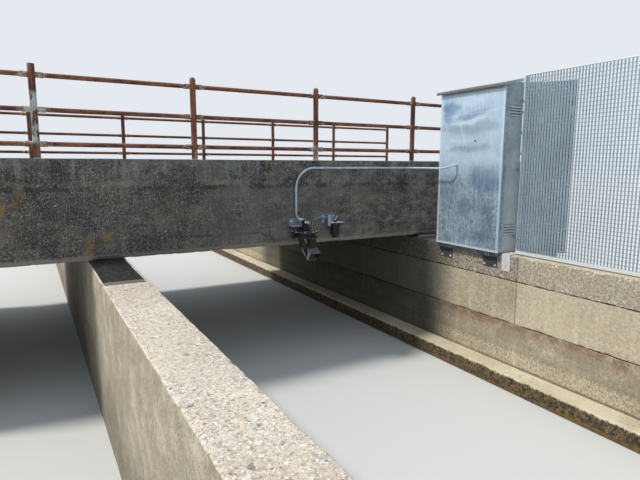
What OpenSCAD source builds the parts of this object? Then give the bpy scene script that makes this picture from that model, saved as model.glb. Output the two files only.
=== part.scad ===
// Canal bridge with a flow gauging station: a trough bridge of two deep edge beams
// across a concrete lined canal, tube railings, a steel instrument cabinet with an
// open door, a grating fence and two sensors on the beam. Millimetres, +Z up.
// X runs along the bridge, Y along the canal. The origin is under the middle of the
// bridge, at the level of the water.

/* [Canal walls] */
// Clear width between the two canal walls, above the ledges
canal_w = 3800; // [3000:10:5000]
// Middle of the canal, measured from the middle of the bridge
canal_x = -320; // [-600:10:300]
// Length of both walls along the canal
wall_len = 13400; // [11600:20:15000]
// Height of the wall tops above the water
wall_h = 1451; // [1300:1:1800]
// Thickness of the left wall
left_wall_t = 382; // [300:2:450]
// Thickness of the right wall
right_wall_t = 382; // [350:2:700]
// Height of the joint under the middle lift of the right wall
lower_lift_z = 677; // [500:1:800]
// Height of the joint under the top lift of the right wall
top_lift_z = 1164; // [1000:1:1250]
// Width of the ledge along the foot of each wall
ledge_w = 245; // [150:5:400]
// Height of the ledge above the water
ledge_h = 180; // [100:5:300]
// Width of the worn edges of the walls and ledges
arris = 12; // [4:1:25]

/* [Bridge] */
// Length of the edge beams and the deck
beam_len = 9360; // [9200:10:10400]
// Distance between the outer faces of the two edge beams
bridge_w = 4676; // [4000:2:5600]
// Height of the edge beams
beam_h = 1024; // [900:2:1300]
// Thickness of the edge beams
beam_t = 300; // [240:5:400]
// Chamfer along the lower outer edge of the beams
beam_chamfer = 45; // [10:1:80]
// Thickness of the bearing course between the walls and the beams
bearing_t = 25; // [15:1:60]
// Setback of the bearing courses from the edge of the walls
bearing_setback = 50; // [20:5:120]
// Length of the left bearing course past each outer beam face
bearing_run = 1041; // [200:1:1500]
// Thickness of the deck slab
deck_t = 300; // [200:10:400]
// Depth of the deck's top below the top of the beams
deck_drop = 500; // [200:10:600]
// Thickness of the walls under the two ends of the bridge
abutment_t = 420; // [300:10:600]

/* [Railings] */
// Outside diameter of the posts
post_d = 62; // [48:1:80]
// Height of the posts above the beams
post_h = 858; // [820:1:1200]
// Distance between the posts
post_gap = 1500; // [1200:5:1530]
// Number of posts on each side
post_n = 7; // [3:1:7]
// Number of the near post that has lost its domed cap, counted from the left
capless_post = 2; // [1:1:7]
// Middle of the railings, measured from the middle of the bridge
railing_x = 15; // [-60:5:60]
// Distance of the posts' middle from the outer beam face
post_inset = 53; // [45:1:110]
// Outside diameter of the rails
rail_d = 45; // [33:1:50]
// Height of the top rail's middle above the beams
top_rail_z = 760; // [700:1:790]
// Height of the middle rail's middle above the beams
middle_rail_z = 447; // [350:1:500]
// Height of the bottom rail's middle above the beams
bottom_rail_z = 130; // [80:1:200]
// Outside diameter of the sockets that hold the rails
socket_d = 54; // [51:1:60]
// Reach of each socket from the post's surface
socket_l = 62; // [30:1:90]

/* [Cabinet] */
// Width of the cabinet along the canal
cab_w = 1010; // [900:10:1300]
// Depth of the cabinet
cab_d = 290; // [270:5:600]
// Height of the cabinet's canal face
cab_h = 1896; // [1700:1:2000]
// Overhang of the cabinet past the wall face
cab_overhang = 54; // [20:1:90]
// Distance from the near beam face to the cabinet
cab_gap = 487; // [300:1:600]
// Thickness of the cabinet's sheets
sheet_t = 2; // [1.5:0.5:4]
// Width of the canal face's folds round the corners
corner_fold = 60; // [20:1:90]
// Slope of the roof in degrees, rising towards the land
roof_slope = 12; // [4:0.5:15]
// Roof overhang past the canal face
roof_front = 43; // [20:1:80]
// Roof overhang past the sides
roof_side = 45; // [20:1:80]
// Depth of the cabinet's door frame, which the roof leaves uncovered
frame_d = 66; // [40:1:90]
// Height of the roof's folded edges
roof_edge = 34; // [30:1:60]
// Diameter of the rolled bead along the roof's lower edge
roof_bead = 26; // [12:1:28]
// Width of the door frame's inward fold
frame_fold = 28; // [15:1:50]
// Number of louvres in each row on the near side
louvre_n = 4; // [2:1:8]
// Spacing of the louvres
louvre_pitch = 31; // [28:1:40]
// Width of the louvres
louvre_w = 180; // [100:5:190]
// Height of one louvre hood
louvre_h = 21; // [16:1:26]
// Reach of the louvre hoods past the side
louvre_reach = 15; // [8:1:20]
// Height of the lower row of louvres above the cabinet's floor
low_louvre_z = 207; // [80:1:400]
// Height of the upper row of louvres above the cabinet's floor
high_louvre_z = 1536; // [1200:1:1560]
// Depth of each door tray
door_t = 22; // [16:1:40]
// Clear gap round the doors
door_gap = 5; // [5:0.5:10]
// Angle of the open door from its shut position
door_angle = 145; // [90:1:175]
// Diameter of the hinge pins
hinge_pin_d = 8; // [6:0.5:12]
// Outside diameter of the hinge knuckles
knuckle_d = 16; // [14:0.5:24]
// Height of one hinge knuckle
knuckle_h = 34; // [20:1:60]
// Height of the lock's body on the open door
lock_h = 60; // [40:1:90]
// Height of the base angle below the cabinet
base_drop = 43; // [20:1:80]
// Width of each bracket plate under the cabinet
bracket_w = 210; // [120:5:260]
// Height of each bracket plate under the cabinet
bracket_h = 136; // [60:1:160]
// Thickness of the bracket plates
bracket_t = 6; // [4:0.5:10]

/* [Fence] */
// Height of the grating panel
fence_h = 1955; // [1600:5:2400]
// Number of vertical bars
fence_bar_n = 60; // [30:1:60]
// Spacing of the vertical bars
fence_pitch = 34; // [30:0.5:35]
// Depth of the bars and of the panel
fence_bar_w = 25; // [20:1:40]
// Thickness of the bars
fence_bar_t = 3; // [2:0.5:5]
// Height of the panel's top edge strip
fence_edge_h = 15; // [10:1:50]
// Height of the panel's bottom rail
fence_foot_h = 33; // [20:1:60]
// Distance of the panel from the wall's inner edge
fence_setback = 78; // [40:1:200]
// Gap under the panel
fence_lift = 14; // [8:1:60]
// Distance from the cabinet to the fence's first bar
fence_gap = 144; // [140:1:300]
// Spacing of the horizontal rods
rod_pitch = 38; // [30:1:150]
// Thickness of the horizontal rods
rod_t = 4; // [3:0.5:8]
// Width of the flat fence posts
fence_post_w = 60; // [40:1:80]
// Thickness of the flat fence posts
fence_post_t = 8; // [5:1:12]
// Width of the clips that hold the fence posts
clip_w = 110; // [60:1:130]
// Length of the clips' legs down the wall
clip_leg = 190; // [80:1:250]
// Thickness of the clips
clip_t = 6; // [4:0.5:10]

/* [Sensors and conduit] */
// Outside diameter of the conduit
conduit_d = 25; // [16:1:32]
// Height of the conduit's long run below the top of the beam
conduit_drop = 93; // [60:1:200]
// Place of the conduit's upright along the bridge
conduit_x = -291; // [-800:1:300]
// Radius of the conduit's bend at the top of the upright
conduit_bend_r = 245; // [80:5:260]
// Radius of the conduit's bend at its foot
conduit_foot_r = 80; // [50:5:120]
// Height of the conduit's foot above the beam's foot
conduit_foot_z = 311; // [250:1:600]
// Distance of the conduit from the cabinet's canal face
conduit_stand = 140; // [120:5:200]
// Distance of the cabinet's conduit entry from the far side
entry_inset = 319; // [200:1:600]
// Rise of the conduit's last bend to its entry
entry_rise = 40; // [0:1:80]
// Spacing of the conduit clips
clip_gap = 480; // [300:10:600]
// Size of the plate of the radar sensor's bracket
radar_plate = 200; // [150:5:260]
// Outside diameter of the radar head's flanges
radar_d = 310; // [200:5:330]
// Height of the radar head over both flanges
radar_head_h = 68; // [50:1:100]
// Tilt of the radar horn below the horizontal
radar_tilt = 35; // [20:1:60]
// Length of the radar horn
horn_l = 128; // [90:1:180]
// Width of the radar horn's mouth
horn_w = 142; // [100:1:180]
// Height of the radar horn's mouth
horn_h = 118; // [80:1:150]
// Wall thickness of the radar horn
horn_wall = 6; // [3:0.5:12]
// Distance between the radar head and the level sensor
sensor_gap = 460; // [400:5:700]
// Diameter of the level sensor
level_d = 112; // [60:2:130]
// Height of the level sensor's body
level_h = 144; // [100:2:200]
// Diameter of the cable between the two sensors
cable_d = 6; // [4:0.5:10]

/* [Hidden] */
$fn = 32;

left_face_x = canal_x - canal_w / 2;
right_face_x = canal_x + canal_w / 2;
beam_z = wall_h + bearing_t;
beam_top_z = beam_z + beam_h;
near_y = -bridge_w / 2;
far_y = bridge_w / 2;
deck_z = beam_top_z - deck_drop - deck_t;

cab_x = right_face_x - cab_overhang;
cab_back_x = cab_x + cab_d;
cab_far_y = near_y - cab_gap;
cab_near_y = cab_far_y - cab_w;
cab_z = wall_h + 4;
frame_x = cab_back_x - frame_d;
side_near_y = cab_near_y + sheet_t;
side_far_y = cab_far_y - sheet_t;
inner_near_y = side_near_y + sheet_t;
inner_far_y = side_far_y - sheet_t;
louvre_x = cab_x + corner_fold + (cab_d - corner_fold) / 2;

hinge_x = cab_back_x + door_gap + door_t;
hinge_y = side_near_y - knuckle_d / 2;
door_start = knuckle_d / 2 + 6;
door_w = (side_near_y + side_far_y) / 2 - hinge_y - door_start - door_gap / 2;
door_z = cab_z + 14;
door_h = frame_top_z() - 4 - door_z;
hinge_inset = 150;
hinge_zs = [door_z + hinge_inset, door_z + door_h / 2 - knuckle_h,
            door_z + door_h - hinge_inset - 2 * knuckle_h];
lock_inset = 36;
lock_drop = 260;
bracket_inset = 146;

fence_x = right_face_x + fence_setback;
fence_y = cab_near_y - fence_gap;
fence_len = (fence_bar_n - 1) * fence_pitch + fence_bar_t;
fence_z = wall_h + fence_lift;
fence_post_drop = 20;
clip_x = fence_x + fence_post_w + 20;

conduit_y = near_y - conduit_d / 2 - 6;
conduit_z = beam_top_z - conduit_drop;
conduit_foot_end_z = beam_z + conduit_foot_z;
tail_x = cab_x - conduit_stand;
tail_corner_r = 120;
entry_y = cab_far_y - entry_inset;
gland_l = 14;
entry_r = conduit_stand - gland_l;

sensor_plate_t = 5;
radar_shelf = 102;
radar_leg = 92;
radar_plate_x = conduit_x - 86;
tab_x = radar_plate_x + radar_plate - 13;
radar_x = radar_plate_x + 123;
radar_y = near_y - radar_d / 2 - 7;
radar_z = beam_z + 117;
horn_x = radar_x + 106;
level_x = radar_x + sensor_gap;
level_y = near_y - level_d / 2 - 46;
level_z = beam_z + 259;
level_arm_t = 6;
gusset_x = level_x - level_d / 2 - 14;
spigot_d = 30;
cable_r = 100;

// Underside of the roof sheet at a place along X
function roof_under(x) = cab_z + cab_h + (x - cab_x) * tan(roof_slope);

// Top of the cabinet's door frame, just under the sloping edge of the roof's rear fold
function frame_top_z() = roof_under(frame_x - sheet_t) - roof_edge + sheet_t - 0.1;

function post_xs() = [for (i = [0:post_n - 1]) railing_x + (i - (post_n - 1) / 2) * post_gap];

// Plain block from two corners
module block(a, b) {
    translate(a)
        cube(b - a);
}

// Profile drawn in X and Z, extruded along Y from y0 to y1
module along_y(y0, y1) {
    translate([0, y1, 0])
        rotate([90, 0, 0])
            linear_extrude(height = y1 - y0)
                children();
}

// Profile drawn in Y and Z, extruded along X from x0 to x1
module along_x(x0, x1) {
    translate([x0, 0, 0])
        rotate([90, 0, 90])
            linear_extrude(height = x1 - x0)
                children();
}

// Wall section from x0 to x1 with worn top edges
module worn_section(x0, x1, z0, z1) {
    polygon([[x0, z0], [x1, z0], [x1, z1 - arris], [x1 - arris, z1], [x0 + arris, z1],
             [x0, z1 - arris]]);
}

// Profile drawn in X and Z, as long as the canal walls
module canal_long() {
    along_y(-wall_len / 2, wall_len / 2)
        children();
}

module left_wall() {
    color("darkgray")
        canal_long()
            worn_section(left_face_x - left_wall_t, left_face_x, 0, wall_h);
}

// Ledge along a wall's foot, its step worn on the side of the canal
module ledge_section(wall_x, side) {
    polygon([[wall_x, 0], [wall_x + side * ledge_w, 0], [wall_x + side * ledge_w, ledge_h - arris],
             [wall_x + side * (ledge_w - arris), ledge_h], [wall_x, ledge_h]]);
}

module left_ledge() {
    color("gray")
        canal_long()
            ledge_section(left_face_x, 1);
}

module left_bearing_course() {
    color("silver")
        block([left_face_x - left_wall_t + arris, near_y - bearing_run, wall_h],
              [left_face_x - bearing_setback, far_y + bearing_run, beam_z]);
}

module right_wall_lower() {
    color("tan")
        canal_long()
            polygon([[right_face_x, 0], [right_face_x + right_wall_t, 0],
                     [right_face_x + right_wall_t, lower_lift_z], [right_face_x + 5, lower_lift_z],
                     [right_face_x, lower_lift_z - 5]]);
}

module right_wall_middle() {
    color("tan")
        canal_long()
            polygon([[right_face_x + 5, lower_lift_z], [right_face_x + right_wall_t, lower_lift_z],
                     [right_face_x + right_wall_t, top_lift_z], [right_face_x + 5, top_lift_z],
                     [right_face_x, top_lift_z - 5], [right_face_x, lower_lift_z + 5]]);
}

module right_wall_top() {
    color("rosybrown")
        canal_long()
            polygon([[right_face_x + 5, top_lift_z], [right_face_x + right_wall_t, top_lift_z],
                     [right_face_x + right_wall_t, wall_h - arris],
                     [right_face_x + right_wall_t - arris, wall_h], [right_face_x + arris, wall_h],
                     [right_face_x, wall_h - arris], [right_face_x, top_lift_z + 5]]);
}

module right_ledge() {
    color("gray")
        canal_long()
            ledge_section(right_face_x, -1);
}

module right_bearing_course() {
    color("gray")
        block([right_face_x + bearing_setback, near_y, wall_h],
              [right_face_x + right_wall_t - arris, far_y, beam_z]);
}

module abutment(x0, x1) {
    block([x0, near_y, 0], [x1, far_y, beam_z]);
}

module left_abutment() {
    color("gray")
        abutment(-beam_len / 2, -beam_len / 2 + abutment_t);
}

module right_abutment() {
    color("gray")
        abutment(beam_len / 2 - abutment_t, beam_len / 2);
}

// Edge beam with its outer face at y = 0, its inner face towards +Y
module edge_beam() {
    along_x(-beam_len / 2, beam_len / 2)
        polygon([[beam_chamfer, beam_z], [beam_t, beam_z], [beam_t, beam_top_z - arris],
                 [beam_t - arris, beam_top_z], [arris, beam_top_z], [0, beam_top_z - arris],
                 [0, beam_z + beam_chamfer]]);
}

module near_edge_beam() {
    color("dimgray")
        translate([0, near_y, 0])
            edge_beam();
}

module far_edge_beam() {
    color("dimgray")
        translate([0, far_y, 0])
            mirror([0, 1, 0])
                edge_beam();
}

module deck_slab() {
    color("gray")
        block([-beam_len / 2, near_y + beam_t, deck_z], [beam_len / 2, far_y - beam_t, deck_z + deck_t]);
}

// One rail socket pointing along +X or -X from the post's middle
module socket(side, z) {
    translate([0, 0, z])
        rotate([0, side * 90, 0])
            cylinder(d = socket_d, h = post_d / 2 + socket_l);
}

// All the posts of one railing, standing on the beam, with domed caps
module posts(capless = 0) {
    xs = post_xs();
    for (i = [0:post_n - 1])
        translate([xs[i], 0, beam_top_z]) {
            if (i + 1 == capless)
                cylinder(d = post_d, h = post_h);
            else {
                cylinder(d = post_d, h = post_h - post_d / 2);
                translate([0, 0, post_h - post_d / 2])
                    sphere(d = post_d);
            }
            for (z = [bottom_rail_z, middle_rail_z, top_rail_z]) {
                if (i > 0)
                    socket(-1, z);
                if (i < post_n - 1)
                    socket(1, z);
            }
        }
}

// The lengths of one rail between the sockets
module rail(z) {
    xs = post_xs();
    reach = post_d / 2 + socket_l;
    for (i = [0:post_n - 2])
        translate([xs[i] + reach, 0, beam_top_z + z])
            rotate([0, 90, 0])
                cylinder(d = rail_d, h = post_gap - 2 * reach);
}

module on_near_beam() {
    translate([0, near_y + post_inset, 0])
        children();
}

module on_far_beam() {
    translate([0, far_y - post_inset, 0])
        children();
}

module near_posts() {
    color("sienna")
        on_near_beam()
            posts(capless_post);
}

module near_top_rail() {
    color("saddlebrown")
        on_near_beam()
            rail(top_rail_z);
}

module near_middle_rail() {
    color("saddlebrown")
        on_near_beam()
            rail(middle_rail_z);
}

module near_bottom_rail() {
    color("saddlebrown")
        on_near_beam()
            rail(bottom_rail_z);
}

module far_posts() {
    color("sienna")
        on_far_beam()
            posts();
}

module far_top_rail() {
    color("saddlebrown")
        on_far_beam()
            rail(top_rail_z);
}

module far_middle_rail() {
    color("saddlebrown")
        on_far_beam()
            rail(middle_rail_z);
}

module far_bottom_rail() {
    color("saddlebrown")
        on_far_beam()
            rail(bottom_rail_z);
}

// Canal face with its two vertical edges folded round the corners
module cabinet_canal_face() {
    color("lightsteelblue")
        difference() {
            block([cab_x, cab_near_y, cab_z], [cab_x + corner_fold, cab_far_y, cab_z + cab_h]);
            block([cab_x + sheet_t, side_near_y, cab_z - 1],
                  [cab_x + corner_fold + 1, side_far_y, cab_z + cab_h + 1]);
            translate([cab_x - 1, entry_y, conduit_z + entry_rise])
                rotate([0, 90, 0])
                    cylinder(d = conduit_d + 6, h = sheet_t + 2);
        }
}

// Outline of the cabinet's side in X and Z: the roof's slope, then the lower door frame
module side_outline() {
    polygon([[cab_x + sheet_t, cab_z], [cab_back_x, cab_z], [cab_back_x, frame_top_z()],
             [frame_x - sheet_t, frame_top_z()], [frame_x - sheet_t, roof_under(frame_x - sheet_t)],
             [cab_x + sheet_t, roof_under(cab_x + sheet_t)]]);
}

module louvre_row(z) {
    for (i = [0:louvre_n - 1])
        translate([louvre_x, side_near_y, cab_z + z + i * louvre_pitch])
            children();
}

// Slot behind one louvre hood
module louvre_slot() {
    block([-louvre_w / 2 + sheet_t, -1, 1], [louvre_w / 2 - sheet_t, sheet_t + 1, louvre_h - 2 * sheet_t - 2]);
}

// Pressed hood over the slot, open downwards and closed by a cheek at each end
module louvre_hood() {
    difference() {
        along_x(-louvre_w / 2, louvre_w / 2)
            polygon([[0, 0], [-louvre_reach, 0], [-louvre_reach, 2], [0, louvre_h]]);
        along_x(-louvre_w / 2 + sheet_t, louvre_w / 2 - sheet_t)
            polygon([[1, -1], [sheet_t - louvre_reach, -1], [sheet_t - louvre_reach, 1],
                     [0, louvre_h - 2 * sheet_t - 2], [1, louvre_h - 2 * sheet_t - 2]]);
    }
}

module cabinet_near_side() {
    color("lightsteelblue") {
        difference() {
            along_y(side_near_y, inner_near_y)
                side_outline();
            louvre_row(low_louvre_z)
                louvre_slot();
            louvre_row(high_louvre_z)
                louvre_slot();
        }
        louvre_row(low_louvre_z)
            louvre_hood();
        louvre_row(high_louvre_z)
            louvre_hood();
    }
}

module cabinet_far_side() {
    color("lightsteelblue")
        along_y(inner_far_y, side_far_y)
            side_outline();
}

module cabinet_floor() {
    color("lightsteelblue")
        block([cab_x + sheet_t, inner_near_y, cab_z], [cab_back_x - sheet_t, inner_far_y, cab_z + sheet_t]);
}

// Frame that the doors shut against, with a cover over the top behind the roof
module cabinet_door_frame() {
    color("lightsteelblue") {
        difference() {
            block([cab_back_x - sheet_t, inner_near_y, cab_z], [cab_back_x, inner_far_y, frame_top_z()]);
            block([cab_back_x - sheet_t - 1, inner_near_y + frame_fold, cab_z + frame_fold],
                  [cab_back_x + 1, inner_far_y - frame_fold, frame_top_z() - frame_fold]);
        }
        block([frame_x - sheet_t, inner_near_y, frame_top_z() - sheet_t],
              [cab_back_x, inner_far_y, frame_top_z()]);
    }
}

// Roof profile in X and Z, drawn in from the outer skin by a distance
module roof_outline(inwards) {
    x0 = cab_x - roof_front + inwards;
    x1 = frame_x - inwards;
    lift = sheet_t - inwards;
    polygon([[x0, roof_under(x0) + lift - roof_edge], [x1, roof_under(x1) + lift - roof_edge],
             [x1, roof_under(x1) + lift], [x0, roof_under(x0) + lift]]);
}

// Sloping roof tray with folded edges and a rolled bead along its lower edge
module cabinet_roof() {
    y0 = cab_near_y - roof_side;
    y1 = cab_far_y + roof_side;
    x0 = cab_x - roof_front;
    bead_z = roof_under(x0) + sheet_t - roof_edge + roof_bead / 2;
    color("lightsteelblue") {
        difference() {
            along_y(y0, y1)
                roof_outline(0);
            translate([0, 0, -roof_edge / 2])
                along_y(y0 + sheet_t, y1 - sheet_t)
                    roof_outline(sheet_t);
            along_y(y0 + sheet_t, y1 - sheet_t)
                roof_outline(sheet_t);
        }
        difference() {
            translate([x0 + roof_bead / 2, y1, bead_z])
                rotate([90, 0, 0])
                    cylinder(d = roof_bead, h = y1 - y0);
            block([x0 - 1, y0 - 1, bead_z + roof_bead / 2 - 1], [x0 + roof_bead + 1, y1 + 1, bead_z + roof_bead]);
        }
    }
}

module cabinet_base_angle() {
    color("silver")
        along_y(cab_near_y, cab_far_y)
            polygon([[cab_x, cab_z - base_drop], [cab_x + sheet_t + 1, cab_z - base_drop],
                     [cab_x + sheet_t + 1, wall_h], [cab_back_x, wall_h], [cab_back_x, cab_z],
                     [cab_x, cab_z]]);
}

// A door tray with its outer face at x = 0, hinge edge at y = 0, reaching to +Y
module door_tray(w, h) {
    difference() {
        block([-door_t, 0, 0], [0, w, h]);
        block([-door_t - 1, sheet_t, sheet_t], [-sheet_t, w - sheet_t, h - sheet_t]);
    }
}

// Places what is drawn on the shut near door where it stands open
module at_open_door() {
    translate([hinge_x, hinge_y, 0])
        rotate([0, 0, -door_angle])
            children();
}

// Knuckles of the open door, each on a leaf along the door's outer face
module door_knuckles() {
    for (z = hinge_zs)
        translate([0, 0, z + knuckle_h + 0.5])
            difference() {
                union() {
                    cylinder(d = knuckle_d, h = knuckle_h);
                    block([0, 0, 0], [4, door_start + 50, knuckle_h]);
                }
                translate([0, 0, -1])
                    cylinder(d = hinge_pin_d + 0.16, h = knuckle_h + 2);
            }
}

module cabinet_open_door() {
    color("lightsteelblue")
        at_open_door() {
            translate([0, door_start, door_z])
                door_tray(door_w, door_h);
            door_knuckles();
        }
}

// Lock near the free edge of the open door, with its round key barrel
module cabinet_lock() {
    color("dimgray")
        at_open_door()
            translate([0, door_start + door_w - lock_inset, door_z + door_h - lock_drop]) {
                block([0, -16, 0], [9, 16, lock_h]);
                translate([9, 0, lock_h / 2])
                    rotate([0, 90, 0])
                        cylinder(d = 22, h = 6);
            }
}

module cabinet_shut_door() {
    color("lightsteelblue")
        translate([cab_back_x + door_t, side_far_y, door_z])
            mirror([0, 1, 0])
                door_tray((side_far_y - side_near_y - door_gap) / 2, door_h);
}

// Fixed hinge leaves on the near side, each with its knuckle and pin
module cabinet_hinges() {
    color("silver")
        for (z = hinge_zs)
            translate([hinge_x, hinge_y, z]) {
                cylinder(d = knuckle_d, h = knuckle_h);
                cylinder(d = hinge_pin_d, h = 2 * knuckle_h + 6);
                block([-door_t - door_gap - 50, knuckle_d / 2 - 4, 0], [0, knuckle_d / 2, knuckle_h]);
            }
}

module cabinet_brackets() {
    color("silver")
        for (y = [cab_far_y - bracket_inset, cab_near_y + bracket_inset])
            along_y(y - bracket_w / 2, y + bracket_w / 2)
                polygon([[right_face_x, cab_z - base_drop],
                         [right_face_x, cab_z - base_drop - bracket_h],
                         [right_face_x - bracket_t, cab_z - base_drop - bracket_h],
                         [right_face_x - bracket_t, cab_z - base_drop - bracket_t],
                         [cab_x, cab_z - base_drop - bracket_t], [cab_x, cab_z - base_drop]]);
}

// Grating panel: flat bars on edge between a top strip and a bottom rail
module fence_panel() {
    color("silver") {
        for (i = [0:fence_bar_n - 1])
            block([fence_x, fence_y - fence_bar_t - i * fence_pitch, fence_z],
                  [fence_x + fence_bar_w, fence_y - i * fence_pitch, fence_z + fence_h]);
        for (edge = [[0, fence_foot_h], [fence_h - fence_edge_h, fence_edge_h]])
            block([fence_x - fence_bar_t, fence_y - fence_len, fence_z + edge[0]],
                  [fence_x + fence_bar_w, fence_y, fence_z + edge[0] + edge[1]]);
    }
}

// Rods across the front of the bars
module fence_rods() {
    z0 = fence_z + fence_foot_h;
    z1 = fence_z + fence_h - fence_edge_h;
    color("silver")
        for (z = [z0 + rod_pitch:rod_pitch:z1 - 2 * rod_t])
            block([fence_x - rod_t, fence_y - fence_len, z], [fence_x, fence_y, z + rod_t]);
}

// Draws its children at both ends of the fence, +Y pointing away from the panel
module at_fence_ends() {
    translate([0, fence_y, 0])
        children();
    translate([0, fence_y - fence_len, 0])
        mirror([0, 1, 0])
            children();
}

module fence_posts() {
    color("silver")
        at_fence_ends()
            block([fence_x, 0, wall_h + clip_t],
                  [fence_x + fence_post_w, fence_post_t, fence_z + fence_h - fence_post_drop]);
}

// Clips bent over the wall's edge, under the posts
module fence_clips() {
    color("gainsboro")
        at_fence_ends()
            along_y(0, clip_w)
                polygon([[right_face_x - clip_t, wall_h - clip_leg], [right_face_x, wall_h - clip_leg],
                         [right_face_x, wall_h], [clip_x, wall_h], [clip_x, wall_h + clip_t],
                         [right_face_x - clip_t, wall_h + clip_t]]);
}

// Angle on the beam with a tab that takes the foot of the conduit
module radar_bracket() {
    z0 = conduit_foot_end_z - 74;
    color("silver") {
        along_x(radar_plate_x, radar_plate_x + radar_plate)
            polygon([[near_y, z0], [near_y, z0 + radar_leg], [near_y - sensor_plate_t, z0 + radar_leg],
                     [near_y - sensor_plate_t, z0 + sensor_plate_t],
                     [near_y - radar_shelf, z0 + sensor_plate_t], [near_y - radar_shelf, z0]]);
        block([tab_x, near_y - 42, z0], [tab_x + 4, near_y - 4, z0 + radar_leg - 1]);
    }
}

// Two round flanges with a narrower body between them, hung from a clamp on the bracket
module radar_head() {
    flange_t = 14;
    z1 = radar_z + radar_head_h;
    clamp_z = conduit_foot_end_z;
    color("dimgray") {
        translate([radar_x, radar_y, radar_z]) {
            cylinder(d = radar_d, h = flange_t);
            cylinder(d = radar_d - 60, h = radar_head_h);
            translate([0, 0, radar_head_h - flange_t])
                cylinder(d = radar_d, h = flange_t);
        }
        along_y(near_y - radar_shelf - 40, near_y - radar_shelf)
            polygon([[radar_x - 10, clamp_z], [radar_x + 50, clamp_z], [radar_x + 86, z1 - 1],
                     [radar_x + 2, z1 - 1]]);
    }
}

// Frustum whose mouth is at y = -len, drawn in from its outside by a distance
module horn_body(inwards, y1) {
    taper = 12;
    intersection() {
        linear_extrude(height = 3 * horn_h, center = true)
            polygon([[taper / 2 + inwards - horn_w / 2, y1], [horn_w / 2 - taper / 2 - inwards, y1],
                     [horn_w / 2 - inwards, -horn_l - inwards], [inwards - horn_w / 2, -horn_l - inwards]]);
        along_x(-horn_w, horn_w)
            polygon([[y1, -inwards], [-horn_l - inwards, -inwards], [-horn_l - inwards, inwards - horn_h],
                     [y1, inwards + 2 * taper - horn_h]]);
    }
}

// Tilted horn under the radar head, on its neck, with a tapered fin down its left side
module radar_horn() {
    neck_w = horn_w - 44;
    neck_h = 126;
    fin_root = -horn_w / 2 - 114;
    color("dimgray")
        translate([horn_x, radar_y + 20, radar_z - neck_h]) {
            rotate([radar_tilt, 0, 0])
                difference() {
                    horn_body(0, 0);
                    horn_body(horn_wall, -horn_l * 0.4);
                }
            difference() {
                block([-neck_w / 2, -28, -30], [neck_w / 2, 12, neck_h]);
                rotate([radar_tilt, 0, 0])
                    translate([-horn_w, -2 * horn_l, -2 * horn_h])
                        cube([2 * horn_w, 3 * horn_l, 2 * horn_h]);
            }
            along_y(-28, 8)
                polygon([[fin_root, neck_h], [fin_root + 58, neck_h], [-horn_w / 2 - 14, 20],
                         [8 - horn_w / 2, -40], [8 - horn_w / 2, -120], [-horn_w / 2 - 14, -112],
                         [fin_root + 34, 20]]);
            block([-neck_w / 2 - 46, -8, 92], [1 - neck_w / 2, 12, neck_h]);
        }
}

// Plate on the beam, a gusset and the arm that carries the level sensor
module level_bracket() {
    color("silver") {
        block([level_x - 138, near_y - sensor_plate_t, level_z - 10], [level_x + 62, near_y, level_z + 105]);
        block([gusset_x, near_y - 110, level_z - 40],
              [gusset_x + level_arm_t, near_y - sensor_plate_t, level_z + 96]);
        difference() {
            block([gusset_x, level_y - level_d / 2 - 4, level_z],
                  [level_x + 114, near_y - sensor_plate_t, level_z + level_arm_t]);
            translate([level_x, level_y, level_z - 1])
                cylinder(d = spigot_d + 1, h = level_arm_t + 2);
        }
    }
}

// Sensor body with a narrower nose, its nut and its bent cable stub above the arm
module level_sensor() {
    color("dimgray")
        translate([level_x, level_y, level_z]) {
            translate([0, 0, -level_h])
                cylinder(d = level_d, h = level_h);
            translate([0, 0, -level_h - 38])
                cylinder(d = 0.64 * level_d, h = 39);
            cylinder(d = spigot_d, h = level_arm_t + 20);
            translate([0, 0, level_arm_t])
                cylinder(d = spigot_d + 16, h = 14, $fn = 6);
            translate([0, 0, level_arm_t + 16])
                rotate([0, 22, 0])
                    cylinder(d = 12, h = 66);
        }
}

// Cable from the radar head to the level bracket's gusset
module sensor_cable() {
    z0 = radar_z + radar_head_h;
    z1 = level_z + 80;
    x0 = radar_x + 138;
    y = near_y - radar_shelf;
    color("dimgray") {
        translate([x0, y, z0])
            cylinder(d = cable_d, h = z1 - cable_r - z0);
        translate([x0 + cable_r, y, z1 - cable_r])
            rotate([90, 0, 0])
                rotate([0, 0, 90])
                    bend(cable_r, cable_d);
        translate([x0 + cable_r, y, z1])
            rotate([0, 90, 0])
                cylinder(d = cable_d, h = gusset_x - x0 - cable_r);
    }
}

// Bend of a round pipe in the plane of X and Y, from +X round to the angle
module bend(r, d = conduit_d, angle = 90) {
    rotate_extrude(angle = angle)
        translate([r, 0])
            circle(d = d);
}

// Conduit from the radar bracket up the beam, along it and round to the cabinet
module conduit() {
    r = conduit_bend_r;
    f = conduit_foot_r;
    c = tail_corner_r;
    color("whitesmoke") {
        translate([conduit_x + f, conduit_y, conduit_foot_end_z])
            rotate([0, 90, 0])
                cylinder(d = conduit_d, h = tab_x - conduit_x - f);
        translate([conduit_x + f, conduit_y, conduit_foot_end_z + f])
            rotate([90, 0, 0])
                rotate([0, 0, 180])
                    bend(f);
        translate([conduit_x, conduit_y, conduit_foot_end_z + f])
            cylinder(d = conduit_d, h = conduit_z - r - conduit_foot_end_z - f);
        translate([conduit_x + r, conduit_y, conduit_z - r])
            rotate([90, 0, 0])
                rotate([0, 0, 90])
                    bend(r);
        translate([conduit_x + r, conduit_y, conduit_z])
            rotate([0, 90, 0])
                cylinder(d = conduit_d, h = tail_x - c - conduit_x - r);
        translate([tail_x - c, conduit_y - c, conduit_z])
            bend(c);
        translate([tail_x, conduit_y - c, conduit_z])
            rotate([90, 0, 0])
                cylinder(d = conduit_d, h = conduit_y - c - entry_y - entry_r);
    }
}

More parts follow.
